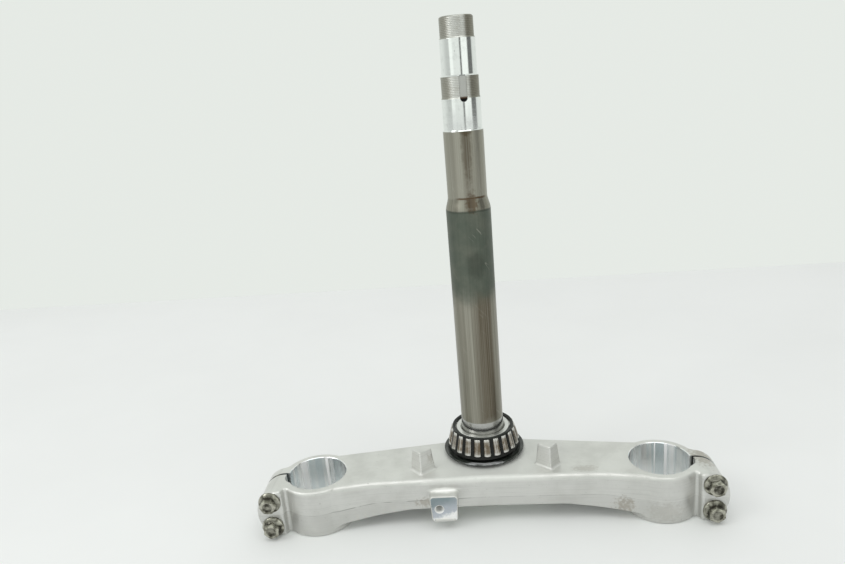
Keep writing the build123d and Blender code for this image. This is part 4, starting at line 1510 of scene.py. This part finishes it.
def light_room(look):
    """A white room: plain for the camera, with bright windows and two dark gaps where metal reflects it.

    Each window or gap has its first and last bearing from the front in degrees, its soft edge and how much
    brighter or darker it is.
    """
    world = bpy.data.worlds.new("Room")
    bpy.context.scene.world = world
    world.use_nodes = True
    tree = world.node_tree
    path = add_node(tree, "ShaderNodeLightPath").outputs
    x, y, z = split(tree, add_node(tree, "ShaderNodeTexCoord").outputs["Generated"])
    bearing = calc(tree, "ARCTAN2", x, times(tree, y, -1.0))
    low = ramp(tree, calc(tree, "ABSOLUTE", z), 0.35, 0.75, 1.0, 0.0)
    room = ramp(tree, y, -0.3, 0.5, 0.78, 1.04)
    for start, end, soft, change in (
        (-57.0, -36.0, 3.0, 0.75),
        (-36.0, 10.0, 3.0, 0.45),
        (11.0, 19.0, 2.0, -0.80),
        (21.0, 61.0, 3.0, 0.75),
        (63.0, 96.0, 4.0, -0.74),
    ):
        rise = ramp(tree, bearing, radians(start - soft), radians(start + soft))
        fall = ramp(tree, bearing, radians(end - soft), radians(end + soft), 1.0, 0.0)
        there = times(tree, rise, fall, low, change)
        room = times(tree, room, calc(tree, "ADD", 1.0, there))
    room = calc_vector(tree, "MULTIPLY", room, look.backdrop)
    mirrored = calc(tree, "MAXIMUM", path["Is Glossy Ray"], path["Is Transmission Ray"])
    ahead = times(tree, ramp(tree, z, 0.05, 0.4, 1.0, 0.0), ramp(tree, y, -0.6, 0.0, 1.0, 0.0))
    ambient = times(tree, calc(tree, "MULTIPLY_ADD", ahead, 1.5, 1.0), look.ambient)
    level = mix(tree, mirrored, ambient, room)
    level = mix(tree, path["Is Camera Ray"], level, look.backdrop)
    feed(tree, tree.nodes["Background"].inputs["Color"], level)


def set_camera(look):
    """The camera where the photograph was taken, turned by its own yaw, pitch and roll."""
    camera = bpy.data.objects.new("camera", bpy.data.cameras.new("camera"))
    place = in_mm(2.342, -447.664, 261.641)
    yaw, pitch, roll = radians(-4.721), radians(16.329), radians(5.055)
    ahead = Vector((sin(yaw) * cos(pitch), cos(yaw) * cos(pitch), -sin(pitch)))
    right = Vector((cos(yaw), -sin(yaw), 0.0))
    down = ahead.cross(right)
    level = right * cos(roll) + down * sin(roll)
    up = right * sin(roll) - down * cos(roll)
    turn = Matrix((level, up, -ahead)).transposed()
    camera.matrix_world = Matrix.Translation(place) @ turn.to_4x4()
    camera.data.lens = look.focal
    camera.data.clip_start = 0.01
    bpy.context.scene.collection.objects.link(camera)
    bpy.context.scene.camera = camera


class CLAMP_OT_stage(bpy.types.Operator):
    """Lays the floor, hangs the lamps and sets the camera"""

    bl_idname = "clamp.stage"
    bl_label = "Stage"

    def execute(self, context):
        look = context.scene.clamp_stage
        context.scene.view_settings.view_transform = "Standard"
        lay_floor(look)
        light_room(look)
        hang_lamp("overhead_lamp", place=(0.15, -0.55, 1.55), size=(1.5, 0.9), power=look.overhead)
        hang_lamp("side_lamp", place=(-1.5, -0.7, 1.4), size=(0.9, 0.9), power=look.side)
        set_camera(look)
        return {"FINISHED"}


class CLAMP_PT_pieces(bpy.types.Panel):
    """The part's pieces, in the order in which they are made"""

    bl_label = "Lower Triple Clamp"
    bl_idname = "CLAMP_PT_pieces"
    bl_space_type = "VIEW_3D"
    bl_region_type = "UI"
    bl_category = "Clamp"

    def draw(self, context):
        for operator in operators:
            self.layout.operator(operator.bl_idname)


settings = {
    "clamp_casting": CastingSettings,
    "clamp_stem": StemSettings,
    "clamp_bearing": BearingSettings,
    "clamp_bolts": BoltSettings,
    "clamp_stage": StageSettings,
}
operators = (
    CLAMP_OT_casting,
    CLAMP_OT_stem,
    CLAMP_OT_seal,
    CLAMP_OT_bearing,
    CLAMP_OT_bolts,
    CLAMP_OT_stage,
)


def register():
    """Registers the settings, the operators and the panel."""
    for name, group in settings.items():
        bpy.utils.register_class(group)
        setattr(bpy.types.Scene, name, PointerProperty(type=group))
    for operator in operators:
        bpy.utils.register_class(operator)
    bpy.utils.register_class(CLAMP_PT_pieces)


def unregister():
    """Takes them all out again."""
    bpy.utils.unregister_class(CLAMP_PT_pieces)
    for operator in reversed(operators):
        bpy.utils.unregister_class(operator)
    for name, group in settings.items():
        delattr(bpy.types.Scene, name)
        bpy.utils.unregister_class(group)


def main():
    """Makes every piece and the stage."""
    register()
    bpy.ops.clamp.casting()
    bpy.ops.clamp.stem()
    bpy.ops.clamp.seal()
    bpy.ops.clamp.bearing()
    bpy.ops.clamp.bolts()
    bpy.ops.clamp.stage()


if __name__ == "__main__":
    main()
